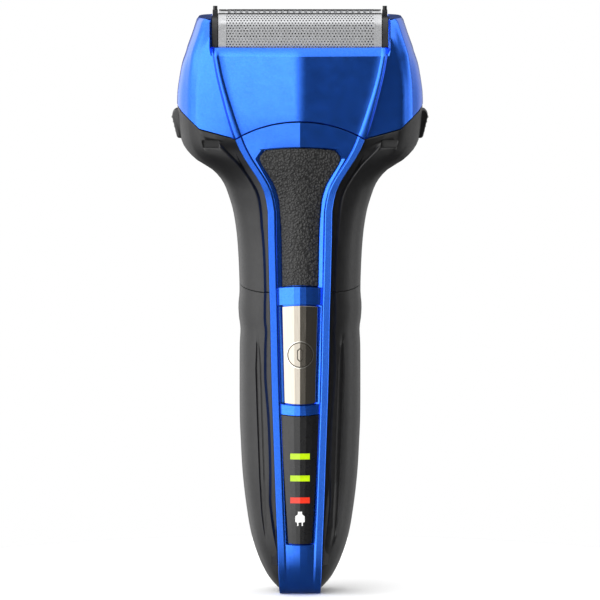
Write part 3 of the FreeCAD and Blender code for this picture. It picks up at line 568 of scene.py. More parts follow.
def makeFrontFrame():
    rows = [(z, False, 0.0) for z in (0, 0.35, 0.9, 1.6, 2.5, 3.5, 4.6, 6.5, 9, 12, 13.6)]
    for key in ("window", "button", "pad"):
        table = frameShape[key]
        low, high = table[0][0], table[-1][0]
        bows = frameShape["bow"][low], frameShape["bow"][high]
        rows.append((low - 0.2, False, bows[0]))
        rows.append((low, True, bows[0]))
        inner = [p[0] for p in table[1:-1]] or [low + (high - low) * k / 6 for k in range(1, 6)]
        rows += [(z, True, 0.0) for z in inner] + [(high, True, bows[1]), (high + 0.2, False, bows[1])]
    grid = [bowed(frameRow(z, deep), z, bow) for z, deep, bow in rows]
    # the top edge follows the seam: each column ends at its own height
    top = []
    for i in range(len(grid[0])):
        z = 127.0
        for _ in range(5):
            x, y = frameRow(z, False)[i]
            z = seamHeight(x, -16) - seam["gap"] * 0.5
        top.append(z)
    start = grid[-1]
    for share in (0.2, 0.4, 0.6, 0.8, 1.0):
        heights = [start[i][2] + (top[i] - start[i][2]) * share for i in range(len(top))]
        grid.append([(*frameRow(z, False)[i], z) for i, z in enumerate(heights)])
    # the top face runs straight back, so what closes it stays out of sight
    grid.append([(x, grid[-1][-1][1], z) for x, y, z in grid[-1]])
    rings = [row + [(-x, y, z) for x, y, z in reversed(row) if x > 1e-6] for row in grid]
    points, faces = ringGrid(rings, closeRing=True)
    count, half = len(rings[0]), len(grid[0])
    for ring in (0, len(rings) - 1):
        # rungs between the right and left halves close each end
        right = [ring * count + i for i in range(half)]
        left = [right[0]] + [ring * count + count - i for i in range(1, half)]
        for i in range(half - 1):
            faces.append(tuple(dict.fromkeys((right[i], right[i + 1], left[i + 1], left[i]))))
    return meshPiece("frontFrame", points, faces, 3.5, acrossAngle=22)


frontStrip = makeFrontFrame()
place(frontStrip, "handle", blueLacquer, "blue_shell", "front_frame")
print("front frame made")


# black body: sleeve below the tilted joint, neck above it

bodyShape = [
    # height, half width, front, back, squareness
    (0.0, 4.4, -6.6, 6.8, 2.4), (0.9, 5.7, -8.4, 8.3, 2.4), (2.5, 7.3, -9.9, 9.8, 2.4),
    (4.6, 8.9, -11.1, 10.9, 2.4),
    (9.0, 11.1, -12.4, 12.2, 2.4), (15.6, 13.25, -13.4, 13.1, 2.5), (24, 14.7, -14.0, 13.8, 2.5),
    (33, 15.7, -14.4, 14.2, 2.6), (41.8, 16.2, -14.5, 14.4, 2.6), (48, 16.45, -14.6, 14.5, 2.6),
    (60, 16.5, -14.5, 14.4, 2.6), (68, 16.45, -14.4, 14.2, 2.6), (72.4, 16.25, -14.3, 14.1, 2.6),
    (74.8, 16.6, -14.3, 14.1, 2.6), (77.5, 16.8, -14.2, 14.0, 2.6), (79.5, 16.75, -14.2, 14.0, 2.6),
    (82, 16.5, -14.1, 14.0, 2.6), (90, 16.7, -14.0, 13.8, 2.5), (96.4, 17.1, -13.9, 13.8, 2.5),
    (100.7, 17.6, -13.9, 13.8, 2.6), (105, 18.4, -13.9, 13.9, 2.7), (109.5, 19.8, -14.0, 14.1, 2.9),
    (111.7, 20.7, -14.1, 14.3, 3.0), (113.8, 22.1, -14.2, 14.5, 3.2), (116, 24.3, -14.3, 14.9, 3.6),
    (118.2, 27.9, -14.5, 15.2, 4.2), (120.4, 30.3, -14.7, 15.5, 5.0), (122.6, 31.8, -14.9, 15.8, 5.6),
    (124, 32.3, -15.1, 16.0, 6.0), (127, 32.8, -15.4, 16.3, 6.6), (131.3, 33.2, -15.8, 16.6, 7.0),
    (134, 33.35, -16.0, 16.7, 7.0)]
valleyLine = [(0, 0.5), (8, 1.0), (22, 1.5), (35, 1.1), (49, 1.1), (60, 1.6), (72, 1.5), (85, 1.2), (97, 1.5),
              (105, 1.8), (109.3, 1.8), (112.5, 2.1), (117.3, 2.4), (120, 3.2), (122.5, 4.3), (125.7, 5.2),
              (134, 5.2)]
valleyDepth = [(0, 0.1), (3, 0.5), (10, 1.1), (22, 1.2), (34, 0.75), (60, 0.9), (100, 0.9), (112, 1.2),
               (120, 1.3), (122.3, 1.0), (124.2, 0.05), (134, 0.05)]
grooveLine = [(8, 8.7), (14, 9.3), (21, 9.7), (32, 10.3), (49, 10.9), (70, 11.5), (90, 11.6)]
grooveDepth = [(8, 0.0), (13, 0.0), (20, 0.55), (60, 0.75), (67, 0.6), (71, 0.0), (90, 0.0)]
grooveHalf = [(8, 0.3), (14, 0.4), (22, 0.8), (62, 0.9), (68, 0.5), (71, 0.35), (90, 0.5)]


def roundY(x, z, side):
    half, front, back, power = (along(bodyShape, z, k) for k in (1, 2, 3, 4))
    middle, depth = (front + back) / 2, (back - front) / 2
    share = clamp(1 - (abs(x) / half) ** power, 0, 1) ** (1 / power)
    return middle + side * depth * share


def bodyPlan(z):
    # right half of the body in plan, from front centre to back centre; hollow in front for the strip
    half, front, back, power = (along(bodyShape, z, k) for k in (1, 2, 3, 4))
    strip = along(stripLine, z) + 0.12
    valley = along(valleyLine, z)
    deep = along(valleyDepth, z)
    groove, dig, wide = (straight(t, z) for t in (grooveLine, grooveDepth, grooveHalf))
    slotBack = min(along(creaseLine, z) + 5.6, -3.0)
    facet = blendAt(z, 117.0, 122.0)
    capHalf = along(capShape["half"], max(z, 124))
    scale = half / capHalf
    level = max(z, 124)
    panelX, panelY = straight(capShape["panelX"], level) * scale, straight(capShape["panelY"], level)
    facetX, facetY = straight(capShape["facetX"], level) * scale, straight(capShape["facetY"], level)
    edge = along(creaseLine, z) + rake * along(stripLine, z) + 0.75

    def faceted(x):
        return straight([(strip, edge), (panelX, panelY), (facetX, facetY), (half, facetY + 5.5 * scale)], x)

    def frontY(x):
        base = roundY(x, z, -1)
        return base + (faceted(x) - base) * facet

    path = [(0.0, slotBack), (strip * 0.6, slotBack), (strip, slotBack)]
    inner = min(strip + valley, panelX - 4.2)
    for x in (strip, strip + (inner - strip) * 0.5, inner - 0.35):
        path.append((x, frontY(x) + deep))
    path.append((inner, frontY(inner) + deep * 0.6))
    path.append((inner + 0.35, frontY(inner + 0.35) + deep * 0.12))
    gLow = clamp(groove - wide, inner + 1.0, panelX - 2.4)
    gHigh = clamp(groove + wide, gLow + 0.7, panelX - 1.4)
    between = inner + 0.35 + (gLow - inner - 0.35) * 0.5
    path.append((between, frontY(between)))
    for share, depth in ((0.0, 0.0), (0.3, dig), (0.75, dig * 0.9), (1.0, 0.0)):
        x = gLow + (gHigh - gLow) * share
        path.append((x, frontY(x) + depth))
    for share in (0.33, 0.66):
        x = gHigh + (panelX - gHigh) * share
        path.append((x, frontY(x)))
    for x in (panelX - 0.3, panelX + 0.2, (panelX + facetX) / 2, facetX - 0.3, facetX + 0.25):
        path.append((x, frontY(x)))
    # the side and back, by angle, blended towards the cap's faceted outline
    middle, depth = (front + back) / 2, (back - front) / 2
    startX = (facetX + 0.25) / half
    startAngle = math.acos(clamp(startX, -1, 1) ** (power / 2))
    polygon = softened([(facetX + 0.25, faceted(facetX + 0.25), 0), (half, facetY + 5.5 * scale, 2.5),
                        (half, back - 9 * scale, 3.5), (facetX + 0.3, back - 3.4 * scale, 2),
                        (panelX - 0.6, back, 2.2), (0, back + 0.1, 0)], 3)
    polygon = divided(polygon, {0: 1})
    lengths = [0.0]
    for a, b in zip(polygon, polygon[1:]):
        lengths.append(lengths[-1] + math.dist(a, b))
    steps = 26
    for k in range(1, steps + 1):
        share = k / steps
        angle = -startAngle + (math.pi / 2 + startAngle) * share
        x = half * abs(math.cos(angle)) ** (2 / power)
        y = middle + math.copysign(abs(math.sin(angle)) ** (2 / power), angle) * depth
        want = share * lengths[-1]
        n = max(i for i in range(len(lengths) - 1) if lengths[i] <= want + 1e-9)
        t = (want - lengths[n]) / max(lengths[n + 1] - lengths[n], 1e-9)
        qx = polygon[n][0] + (polygon[n + 1][0] - polygon[n][0]) * t
        qy = polygon[n][1] + (polygon[n + 1][1] - polygon[n][1]) * t
        path.append((x + (qx - x) * facet, y + (qy - y) * facet) if k < steps else (0.0, back + 0.1 * facet))
    return path


def splitHeight(x, y):
    return split["height"] + split["slope"] * y


def makeBody(name, lowAt, highAt, rowCount, wall, closeBottom):
    count = len(bodyPlan(60))
    chains = []
    for i in range(count):
        low, high = lowAt(i), highAt(i)
        chain = []
        edge = 0.12 / (high - low)
        for t in [0.0, edge] + [k / rowCount for k in range(1, rowCount)] + [1 - edge, 1.0]:
            z = low + (high - low) * t
            x, y = bodyPlan(z)[i]
            tuck = 0.12 if t in (0.0, 1.0) and not (closeBottom and t == 0.0) else 0.0
            length = math.hypot(x, y) or 1
            chain.append((x * (1 - tuck / length), y * (1 - tuck / length), z))
        for t in reversed([0.02, 0.5, 1.0] if not closeBottom else [0.1, 0.5, 1.0]):
            z = low + (high - low) * t
            x, y = offsetPlan(bodyPlan(z), wall)[i]
            if closeBottom and t == 0.1:
                z = max(z, 7.0)
            chain.append((x, y, z))
        if closeBottom:
            # the tail's hole for the charging inlet
            x, y = inletEdge(chain[0][0], chain[0][1])
            chain.append((x, y, 7.0))
            chain.insert(0, (x, y, 0.0))
        chains.append(chain)
    left = [[(-x, y, z) for x, y, z in chain] for chain in reversed(chains[1:-1])]
    points, faces = ringGrid(chains + left, closeRing=True, closeEnds=True)
    return meshPiece(name, points, faces, 32)


inlet = {"halfX": 3.55, "halfY": 4.85, "centreY": 0.6}


def inletEdge(x, y):
    # the point of the inlet's rounded outline in the same direction from its centre
    dx, dy = x, y - inlet["centreY"]
    power = 8
    reach = ((abs(dx) / inlet["halfX"]) ** power + (abs(dy) / inlet["halfY"]) ** power) ** (1 / power)
    return dx / reach, inlet["centreY"] + dy / reach


def columnAt(i, heightAt, start, offset):
    return resting(i, start, heightAt, bodyPlan) + offset


sleeve = makeBody("handleSleeve", lambda i: 0.0,
                  lambda i: columnAt(i, splitHeight, 85.0, -split["gap"] / 2), 60, 1.8, True)
place(sleeve, "handle", blackShell, "black_shell", "handle_sleeve")
neck = makeBody("neckHousing", lambda i: columnAt(i, splitHeight, 85.0, split["gap"] / 2),
                lambda i: columnAt(i, seamHeight, 128.0, -seam["gap"] / 2), 36, 1.8, False)
shoulderSlot = {"near": 22.0, "far": 26.3, "low": 122.3, "high": 124.4, "floor": -13.4, "barDepth": 0.9}


def cutShoulderSlot(piece, side):
    # a shallow slot through the skin of the shoulder, with a bar standing in it
    box = shoulderSlot
    points = [(side * x, y, z) for x in (box["near"], box["far"]) for y in (-20.0, box["floor"])
              for z in (box["low"], box["high"])]
    faces = [(0, 1, 3, 2), (4, 6, 7, 5), (0, 4, 5, 1), (2, 3, 7, 6), (0, 2, 6, 4), (1, 5, 7, 3)]
    cutter = meshPiece("slotCutter", points, faces)
    modifier = piece.modifiers.new("slot", "BOOLEAN")
    modifier.operation = "DIFFERENCE"
    modifier.solver = "EXACT"
    modifier.object = cutter
    bpy.context.view_layer.update()
    cut = bpy.data.meshes.new_from_object(piece.evaluated_get(bpy.context.evaluated_depsgraph_get()))
    piece.modifiers.clear()
    piece.data = cut
    bpy.data.objects.remove(cutter)
    front = roundY(box["near"] + 2, box["low"], -1) + box["barDepth"]
    barPoints = [(side * x, y, z) for x in (box["near"] + 0.3, box["far"] - 0.3)
                 for y in (front, box["floor"] + 0.2) for z in (box["low"] + 0.15, box["low"] + 1.15)]
    bar = meshPiece("shoulderBar" + ("Right" if side > 0 else "Left"), barPoints, faces)
    place(bar, "handle", sideKeyShell, "black_shell")
    bevelled(bar, 0.12, 40, 2)


for side in (-1, 1):
    cutShoulderSlot(neck, side)
place(neck, "handle", blackShell, "black_shell", "neck_housing")
print("black body made")


# plates set in the front frame

def plate(name, table, zEnds, lift, depth, facets, rows, bows=(0.0, 0.0), sharp=10):
    # a plate that follows the strip: table gives its half width by height
    grid = []
    low, high = zEnds
    for k in range(rows + 1):
        z = low + (high - low) * k / rows
        half = along(table, z) if len(table) > 2 else straight(table, z)
        line = []
        for share in facets:
            x = half * share
            bow = bows[0] if k == 0 else bows[1] if k == rows else 0.0
            zHere = z + bow * (1 - share * share)
            line.append((x, along(creaseLine, z) + panelLevel(x, z) - lift, zHere))
        grid.append(line)
    front = [[(-x, y, z) for x, y, z in reversed(line) if x > 1e-6] + line for line in grid]
    count, total = len(front[0]), len(front)
    points = [p for line in front for p in line]
    back = [(x, y + depth, z) for x, y, z in points]
    faces = []
    for j in range(total - 1):
        for i in range(count - 1):
            a = j * count + i
            faces.append((a, a + 1, a + count + 1, a + count))
    rim = (list(range(count)) + [j * count + count - 1 for j in range(1, total)]
           + [(total - 1) * count + i for i in range(count - 2, -1, -1)]
           + [j * count for j in range(total - 2, 0, -1)])
    shift = len(points)
    faces += [tuple(v + shift for v in reversed(f)) for f in faces]
    for a, b in zip(rim, rim[1:] + rim[:1]):
        faces.append((a, b, b + shift, a + shift))
    return meshPiece(name, points + back, faces, sharp)


padTable = [(z, w - 0.12) for z, w in frameShape["pad"]]
pad = plate("gripPad", padTable, (84.5, 121.7), -0.35, 1.0, (0, 0.25, 0.5, 0.75, 0.94, 1.0), 44,
            (0.4, 0.7), 40)
place(pad, "handle", gripRubber, "grip_rubber", "grip_pad")
bevelled(pad, 0.3, 50, 3)

buttonTable = [(52.8, 4.2), (79.2, 4.85)]
facetShares = (0, 0.34, 0.66, 1.0)
button = plate("powerButton", buttonTable, (52.95, 79.1), 0.12, 1.7, facetShares, 12, (-0.4, 0.35), 2)
place(button, "power_key", buttonSteel, "button_metal", "power_button")
bevelled(button, 0.14, 40, 2)

windowTable = [(14.4, 3.2), (49.8, 5.35)]
window = plate("indicatorWindow", windowTable, (14.5, 49.7), -0.1, 1.3, (0, 0.33, 0.66, 1.0), 14,
               (-0.2, -0.4), 2)
place(window, "handle", smokedLens, "window_lens", "indicator_window")
bevelled(window, 0.1, 40, 2)


def facetY(x, z):
    return along(creaseLine, z) + panelLevel(x, z)


def relief(name, outline, z0, lift, depth, hole=None):
    # a flat shape laid on the creased front: outline points are (x, z); a hole outline has as many points
    points, faces = [], []
    loops = [outline] + ([hole] if hole else [])
    for loop in loops:
        for height in (lift, lift - depth):
            points += [(x, facetY(x, z0 + z) - height, z0 + z) for x, z in loop]
    count = len(outline)
    for i in range(count):
        j = (i + 1) % count
        faces.append((i, j, j + count, i + count))
        if hole:
            faces.append((2 * count + i, 3 * count + i, 3 * count + j, 2 * count + j))
            faces.append((i, i + 2 * count, j + 2 * count, j))
            faces.append((i + count, j + count, j + 3 * count, i + 3 * count))
    if not hole:
        faces += [tuple(range(count)), tuple(reversed(range(count, 2 * count)))]
    return meshPiece(name, points, faces, 30)


def circle(radius, count=56):
    return [(radius * math.cos(2 * math.pi * k / count), radius * math.sin(2 * math.pi * k / count))
            for k in range(count)]


def pointedBar(halfWide, halfTall, count=40):
    # an upright bar with roof-shaped ends, as evenly spread points
    shoulder = halfTall * 0.62
    corners = [(halfWide, -shoulder), (halfWide, shoulder), (0, halfTall), (-halfWide, shoulder),
               (-halfWide, -shoulder), (0, -halfTall)]
    each = count // len(corners)
    points = []
    for (ax, az), (bx, bz) in zip(corners, corners[1:] + corners[:1]):
        points += [(ax + (bx - ax) * k / each, az + (bz - az) * k / each) for k in range(each)]
    return points


markShape = {"height": 66.1, "lift": 0.15, "depth": 0.1, "ringInner": 3.2, "ringOuter": 3.5,
             "glintOuter": 3.72, "barOuter": (0.82, 1.95), "barInner": (0.56, 1.6),
             "plugHeight": 19.3, "plugLift": 0.06}
for name, outer, inner in (
        ("powerRing", circle(markShape["ringOuter"]), circle(markShape["ringInner"])),
        ("powerBar", pointedBar(*markShape["barOuter"], 42), pointedBar(*markShape["barInner"], 42))):
    mark = relief(name, outer, markShape["height"], markShape["lift"], markShape["depth"], inner)
    place(mark, "power_key", etchedSteel, "button_metal")
# a pale ring just outside the etched ring: a painted glint, drawn in bright metal
ringGlint = relief("powerRingGlint", circle(markShape["glintOuter"]), markShape["height"], markShape["lift"],
                   markShape["depth"], circle(markShape["ringOuter"]))
place(ringGlint, "power_key", paintedGlintSteel, "button_metal")

plugShapes = (
    [(0.0, 4.0), (0.56, 4.0), (0.56, 3.3), (1.27, 2.75), (1.27, 1.25), (1.05, 1.05), (0.0, 1.05)],
    [(0.0, 1.05), (-1.05, 1.05), (-1.27, 1.25), (-1.27, 2.75), (-0.56, 3.3), (-0.56, 4.0), (0.0, 4.0)],
    [(-0.78, 1.1), (-0.44, 1.1), (-0.44, 0.1), (-0.78, 0.1)],
    [(0.44, 1.1), (0.78, 1.1), (0.78, 0.1), (0.44, 0.1)],
)
for n, shape in enumerate(plugShapes):
    mark = relief(f"plugMark{n}", shape, markShape["plugHeight"], -markShape["plugLift"],
                  markShape["plugLift"])
    place(mark, "handle", whiteInk, "pale_plastic")
print("front plates made")


# foils: thin sheet punched with six-sided holes, bent over the cutters

foilShape = {"reach": 8.9, "axis": 154.0, "radius": 4.6, "half": 22.1, "foot": 148.3, "rim": 1.6,
             "pitch": 0.84, "web": 0.36, "sheet": 0.08}   # real holes are finer, drawn coarser to show


def holeTile():
    # one six-sided tile with a six-sided hole, flat, in metres
    outer = foilShape["pitch"] / math.sqrt(3) * mm
    inner = (foilShape["pitch"] - foilShape["web"]) / 2 * mm
    points = [(r * math.cos(math.radians(60 * k + 30)), r * math.sin(math.radians(60 * k + 30)), 0)
              for r in (outer, inner) for k in range(6)]
    mesh = bpy.data.meshes.new("holeTile")
    mesh.from_pydata(points, [], [(k, (k + 1) % 6, (k + 1) % 6 + 6, k + 6) for k in range(6)])
    tile = bpy.data.objects.new("holeTile", mesh)
    bpy.context.scene.collection.objects.link(tile)
    return tile


def punchedSheet(columns, rows):
    # a flat punched sheet made by a node tree: tiles on staggered rows
    tree = bpy.data.node_groups.new("punchedSheet", "GeometryNodeTree")
    for name, kind in (("Geometry", "NodeSocketGeometry"), ("Pitch", "NodeSocketFloat"),
                       ("Columns", "NodeSocketInt"), ("Rows", "NodeSocketInt"), ("Tile", "NodeSocketObject"),
                       ("Finish", "NodeSocketMaterial")):
        tree.interface.new_socket(name, in_out="INPUT", socket_type=kind)
    tree.interface.new_socket("Geometry", in_out="OUTPUT", socket_type="NodeSocketGeometry")
    given = addNode(tree, "NodeGroupInput").outputs

    def maths(operation, a, b):
        node = addNode(tree, "ShaderNodeMath", {"operation": operation})
        for n, value in enumerate((a, b)):
            if isinstance(value, (int, float)):
                node.inputs[n].default_value = value
            else:
                tree.links.new(value, node.inputs[n])
        return node.outputs[0]

    step = maths("MULTIPLY", given["Pitch"], math.sqrt(3) / 2)
    wide = maths("MULTIPLY", given["Pitch"], maths("SUBTRACT", given["Columns"], 1))
    tall = maths("MULTIPLY", step, maths("SUBTRACT", given["Rows"], 1))
    grid = addNode(tree, "GeometryNodeMeshGrid",
                   links={"Size X": wide, "Size Y": tall, "Vertices X": given["Columns"],
                          "Vertices Y": given["Rows"]})
    position = addNode(tree, "GeometryNodeInputPosition").outputs[0]
    spot = addNode(tree, "ShaderNodeSeparateXYZ", links={0: position})
    fromFoot = maths("ADD", spot.outputs[1], maths("MULTIPLY", tall, 0.5))
    rowNumber = maths("ROUND", maths("DIVIDE", fromFoot, step), 0)
    shift = maths("MULTIPLY", maths("MODULO", rowNumber, 2), maths("MULTIPLY", given["Pitch"], 0.5))
    offset = addNode(tree, "ShaderNodeCombineXYZ", links={0: shift})
    moved = addNode(tree, "GeometryNodeSetPosition", links={0: grid.outputs[0], "Offset": offset.outputs[0]})
    tile = addNode(tree, "GeometryNodeObjectInfo", links={"Object": given["Tile"]})
    spread = addNode(tree, "GeometryNodeInstanceOnPoints", links={"Points": moved.outputs[0],
                                                                   "Instance": tile.outputs["Geometry"]})
    real = addNode(tree, "GeometryNodeRealizeInstances", links={0: spread.outputs[0]})
    finish = addNode(tree, "GeometryNodeSetMaterial", links={0: real.outputs[0], "Material": given["Finish"]})
    addNode(tree, "NodeGroupOutput", links={0: finish.outputs[0]})

    tileObject = holeTile()
    carrier = bpy.data.objects.new("sheetCarrier", bpy.data.meshes.new("sheetCarrier"))
    bpy.context.scene.collection.objects.link(carrier)
    modifier = carrier.modifiers.new("sheet", "NODES")
    modifier.node_group = tree
    values = {"Pitch": foilShape["pitch"] * mm, "Columns": columns, "Rows": rows, "Tile": tileObject,
              "Finish": foilNickel}
    for item in tree.interface.items_tree:
        if item.in_out == "INPUT" and item.name in values:
            modifier[item.identifier] = values[item.name]
    bpy.context.view_layer.update()
    evaluated = carrier.evaluated_get(bpy.context.evaluated_depsgraph_get())
    sheet = bpy.data.meshes.new_from_object(evaluated)
    for spare in (carrier, tileObject):
        bpy.data.objects.remove(spare)
    return sheet


def bentSheet(x, v, lift):
    # where a point of the flat sheet lands once bent over the cutter: v runs front to back
    radius = foilShape["radius"] - lift
    arc = foilShape["radius"] * math.pi / 2
    if abs(v) <= arc:
        angle = v / foilShape["radius"]
        return x, radius * math.sin(angle), foilShape["axis"] + radius * math.cos(angle)
    return x, math.copysign(radius, v), foilShape["axis"] - (abs(v) - arc)


def makeFoil(name, side, body, node):
    arc = foilShape["radius"] * math.pi / 2
    tall = 2 * (arc + foilShape["axis"] - foilShape["foot"])
    wide = 2 * (foilShape["half"] - foilShape["rim"])
    rowStep = foilShape["pitch"] * math.sqrt(3) / 2
    columns, rows = int(wide / foilShape["pitch"]), int(tall / rowStep)
    sheet = punchedSheet(columns, rows)
    bm = bmesh.new()
    bm.from_mesh(sheet)
    bpy.data.meshes.remove(sheet)
    bmesh.ops.remove_doubles(bm, verts=bm.verts, dist=0.01 * mm)
    points, faces = [tuple(v.co / mm) for v in bm.verts], [[v.index for v in f.verts] for f in bm.faces]
    bm.free()
    # plain borders at the two ends, overlapping the outermost tiles
    inside = columns * foilShape["pitch"] / 2
    for sign in (-1, 1):
        start = len(points)
        steps = 48
        for k in range(steps + 1):
            v = -tall / 2 + tall * k / steps
            points += [(sign * (inside - 0.25), v, 0.02), (sign * foilShape["half"], v, 0.02)]
        faces += [[start + 2 * k + n for n in (0, 1, 3, 2)] for k in range(steps)]
    half = len(points)
    bent = []
    for lift in (0.0, foilShape["sheet"]):
        for x, v, raised in points:
            bx, by, bz = bentSheet(x, clamp(v, -tall / 2, tall / 2), lift + raised)
            bent.append((bx, by + side * foilShape["reach"], bz))
    edges = {}
    for face in faces:
        for a, b in zip(face, face[1:] + face[:1]):
            edges.setdefault(frozenset((a, b)), []).append((a, b))
    rims = [pair[0] for pair in edges.values() if len(pair) == 1]
    both = [tuple(f) for f in faces] + [tuple(i + half for i in reversed(f)) for f in faces]
    both += [(b, a, a + half, b + half) for a, b in rims]
    piece = meshPiece(name, bent, both, 40, 0.000001)
    place(piece, body, foilNickel, "foil_steel", node)


makeFoil("frontFoil", -1, "front_float", "front_foil")
makeFoil("rearFoil", 1, "rear_float", "rear_foil")
print("foils made")


# release buttons: slanted plates with four ribs

releaseShape = {
    "profile": [(29.3, 132.0, 0), (33.9, 132.15, 0.8), (34.95, 130.7, 1.2), (33.4, 124.2, 0.7),
                (29.3, 124.1, 0)],
    "halfDepth": 3.9, "middle": 128.2,
    "ribs": 4, "ribFoot": 126.1, "ribPitch": 1.25, "ribX": 33.82, "ribLean": 0.262, "ribHalfDepth": 2.5,
}


def makeReleaseButton(side, body, node):
    shape = releaseShape
    profile = softened(shape["profile"], 3)
    halfY, middle = shape["halfDepth"], shape["middle"]
    loops = []
    for y, inset in ((-halfY, 0.55), (-halfY + 0.25, 0.15), (-halfY + 0.7, 0.0), (halfY - 0.7, 0.0),
                     (halfY - 0.25, 0.15), (halfY, 0.55)):
        loops.append([(side * (x - inset * (x > 30)), y, middle + (z - middle) * (1 - inset * 0.12))
                      for x, z in profile])
    points, faces = ringGrid(loops)
    count = len(profile)
    faces += [tuple(range(count)), tuple(reversed(range(len(points) - count, len(points))))]
    for n in range(shape["ribs"]):
        z = shape["ribFoot"] + shape["ribPitch"] * n
        x = shape["ribX"] + (z - shape["ribFoot"]) * shape["ribLean"]
        start = len(points)
        ridge = [(x - 0.5, z - 0.34), (x + 0.12, z - 0.14), (x + 0.12, z + 0.14), (x - 0.5, z + 0.34)]
        for y in (-shape["ribHalfDepth"], shape["ribHalfDepth"]):
            points += [(side * rx, y, rz) for rx, rz in ridge]
        for k in range(4):
            nextCorner = (k + 1) % 4
            faces.append((start + k, start + nextCorner, start + nextCorner + 4, start + k + 4))
        faces += [tuple(range(start, start + 4)), tuple(range(start + 7, start + 3, -1))]
    piece = meshPiece("releaseButton" + ("Right" if side > 0 else "Left"), points, faces, 35)
    place(piece, body, sideKeyShell, "side_key", node)


makeReleaseButton(-1, "release_left", "release_button_left")
makeReleaseButton(1, "release_right", "release_button_right")
print("release buttons made")


# camera, world and floor

stageSet = {"lens": 550, "sensor": 36, "lookZ": 0.0797, "elevation": 5, "distance": 2.5,
            "floorRadius": 0.13, "floorSteps": 96, "fillLight": 0.07}


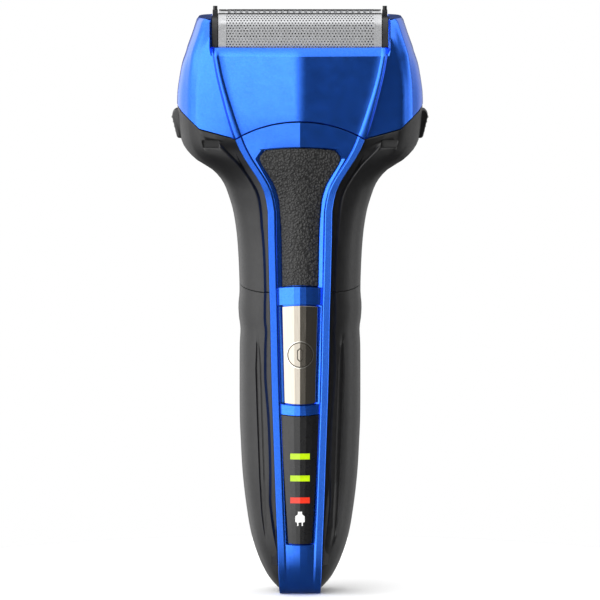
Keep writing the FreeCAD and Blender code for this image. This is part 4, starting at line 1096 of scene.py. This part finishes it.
def makeStage():
    scene = bpy.context.scene
    scene.view_settings.view_transform = "Standard"
    camera = bpy.data.objects.new("camera", bpy.data.cameras.new("camera"))
    scene.collection.objects.link(camera)
    scene.camera = camera
    camera.data.lens = stageSet["lens"]
    camera.data.sensor_width = stageSet["sensor"]
    look = Vector((0, 0, stageSet["lookZ"]))
    elevation, distance = math.radians(stageSet["elevation"]), stageSet["distance"]
    camera.location = look + Vector((0, -math.cos(elevation), math.sin(elevation))) * distance
    camera.rotation_euler = (math.radians(90) - elevation, 0, 0)
    camera.data.clip_start = 0.01

    floor = bpy.data.meshes.new("floor")
    steps, radius = stageSet["floorSteps"], stageSet["floorRadius"]
    ring = [(radius * math.cos(2 * math.pi * k / steps), radius * math.sin(2 * math.pi * k / steps), 0)
            for k in range(steps)]
    floor.from_pydata(ring, [], [tuple(range(steps))])
    floorPiece = bpy.data.objects.new("floor", floor)
    scene.collection.objects.link(floorPiece)
    material, tree, shader, _ = newMaterial("whiteFloor")
    setShader(shader, base=(0.95, 0.95, 0.95, 1), rough=0.7, specular=0.2)
    gone = addNode(tree, "ShaderNodeBsdfTransparent")
    glossy = addNode(tree, "ShaderNodeLightPath").outputs["Is Glossy Ray"]
    mix = addNode(tree, "ShaderNodeMixShader", links={0: glossy, 1: shader.outputs[0], 2: gone.outputs[0]})
    output = next(n for n in tree.nodes if n.bl_idname == "ShaderNodeOutputMaterial")
    tree.links.new(mix.outputs[0], output.inputs["Surface"])
    floor.materials.append(material)

    world = bpy.data.worlds.new("studio")
    scene.world = world
    world.use_nodes = True
    tree = world.node_tree
    tree.nodes.clear()
    direction = addNode(tree, "ShaderNodeTexCoord").outputs["Generated"]
    parts = addNode(tree, "ShaderNodeSeparateXYZ", links={0: direction}).outputs
    forward = addNode(tree, "ShaderNodeMath", {"operation": "MULTIPLY", 1: -1.0}, {0: parts[1]}).outputs[0]
    turn = addNode(tree, "ShaderNodeMath", {"operation": "ARCTAN2"}, {0: parts[0], 1: forward}).outputs[0]
    azimuth = addNode(tree, "ShaderNodeMath", {"operation": "DEGREES"}, {0: turn}).outputs[0]
    rise = addNode(tree, "ShaderNodeMath", {"operation": "ARCSINE"}, {0: parts[2]}).outputs[0]
    elevation = addNode(tree, "ShaderNodeMath", {"operation": "DEGREES"}, {0: rise}).outputs[0]

    def ramp(value, low, high):
        return addNode(tree, "ShaderNodeMapRange", {"interpolation_type": "SMOOTHSTEP", "From Min": low,
                                                    "From Max": high}, {"Value": value}).outputs[0]

    # soft boxes: azimuth from, to, soft edge; elevation from, to, soft edge; strength.
    # azimuth 0 is in front and grows to the right
    boxes = [
        (-84, -7, 5, -24, 60, 20, 2.7),     # key, front left
        (-160, -84, 10, -25, 60, 20, 1.4),  # long left side
        (-7, 3, 5, -30, 50, 20, 0.85),      # dim card round the camera
        (86, 112, 5, -30, 55, 15, 1.7),     # rim strip, right
        (120, 165, 15, -30, 60, 20, 0.7),   # behind, right
        (-180, 180, 1, 48, 90, 14, 1.4),    # overhead
    ]
    total = None
    for low, high, soft, down, up, fade, strength in boxes:
        gates = [ramp(azimuth, low - soft, low + soft), ramp(azimuth, high + soft, high - soft),
                 ramp(elevation, down - fade, down + fade), ramp(elevation, up + fade, up - fade)]
        if high - low >= 360:
            gates = gates[2:3]
        value = gates[0]
        for gate in gates[1:]:
            value = addNode(tree, "ShaderNodeMath", {"operation": "MULTIPLY"}, {0: value, 1: gate}).outputs[0]
        value = addNode(tree, "ShaderNodeMath", {"operation": "MULTIPLY", 1: strength}, {0: value}).outputs[0]
        total = value if total is None else addNode(tree, "ShaderNodeMath", {"operation": "ADD"},
                                                     {0: total, 1: value}).outputs[0]
    total = addNode(tree, "ShaderNodeMath", {"operation": "ADD", 1: stageSet["fillLight"]},
                    {0: total}).outputs[0]
    studio = addNode(tree, "ShaderNodeBackground", {"Color": (1, 1, 1, 1)}, {"Strength": total})
    plain = addNode(tree, "ShaderNodeBackground", {"Color": (1, 1, 1, 1), "Strength": 1.0})
    sight = addNode(tree, "ShaderNodeLightPath").outputs["Is Camera Ray"]
    mix = addNode(tree, "ShaderNodeMixShader", links={0: sight, 1: studio.outputs[0], 2: plain.outputs[0]})
    addNode(tree, "ShaderNodeOutputWorld", links={"Surface": mix.outputs[0]})


makeStage()
print("camera and light made")


# finishes for the pieces kept from the frame

keptFinish = {
    "foil_cassette": darkMoulding,
    "front_foil_carrier": darkMoulding, "rear_foil_carrier": darkMoulding, "centre_trimmer": foilNickel,
    "front_blades": bladeSteel, "rear_blades": bladeSteel, "centre_blade": bladeSteel,
    "front_blade_holder": paleMoulding, "rear_blade_holder": paleMoulding,
    "front_cutter_spring": springWire, "rear_cutter_spring": springWire,
    "drive_arm_front": paleMoulding, "drive_arm_rear": paleMoulding, "head_deck": darkMoulding,
    "deck_screws": bladeSteel, "drive_seal": sealRubber, "motor": platedCan, "eccentric_shaft": platedBrass,
    "motor_bracket": platedCan, "motor_screws": bladeSteel, "release_spring_left": springWire,
    "release_spring_right": springWire,
    "inner_chassis": paleMoulding, "battery_cell": cellSleeve, "battery_tabs": platedBrass,
    "circuit_board": boardMask, "board_parts": chipMoulding, "tact_switch": platedCan,
    "light_chips": chipEpoxy,
    "charge_inlet": darkMoulding, "charge_contacts": platedBrass, "inlet_seal": sealRubber,
    "button_seal": sealRubber, "trimmer_housing": blackShell, "trimmer_slider": sideKeyShell,
    "trimmer_comb": bladeSteel, "trimmer_blade": bladeSteel,
    "charge_light_top": limeGuide, "charge_light_middle": limeGuide, "charge_light_low": redGuide,
}
for nodeName, finish in keptFinish.items():
    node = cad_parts[nodeName]
    node.data.materials.clear()
    node.data.materials.append(finish)
print("kept pieces finished")
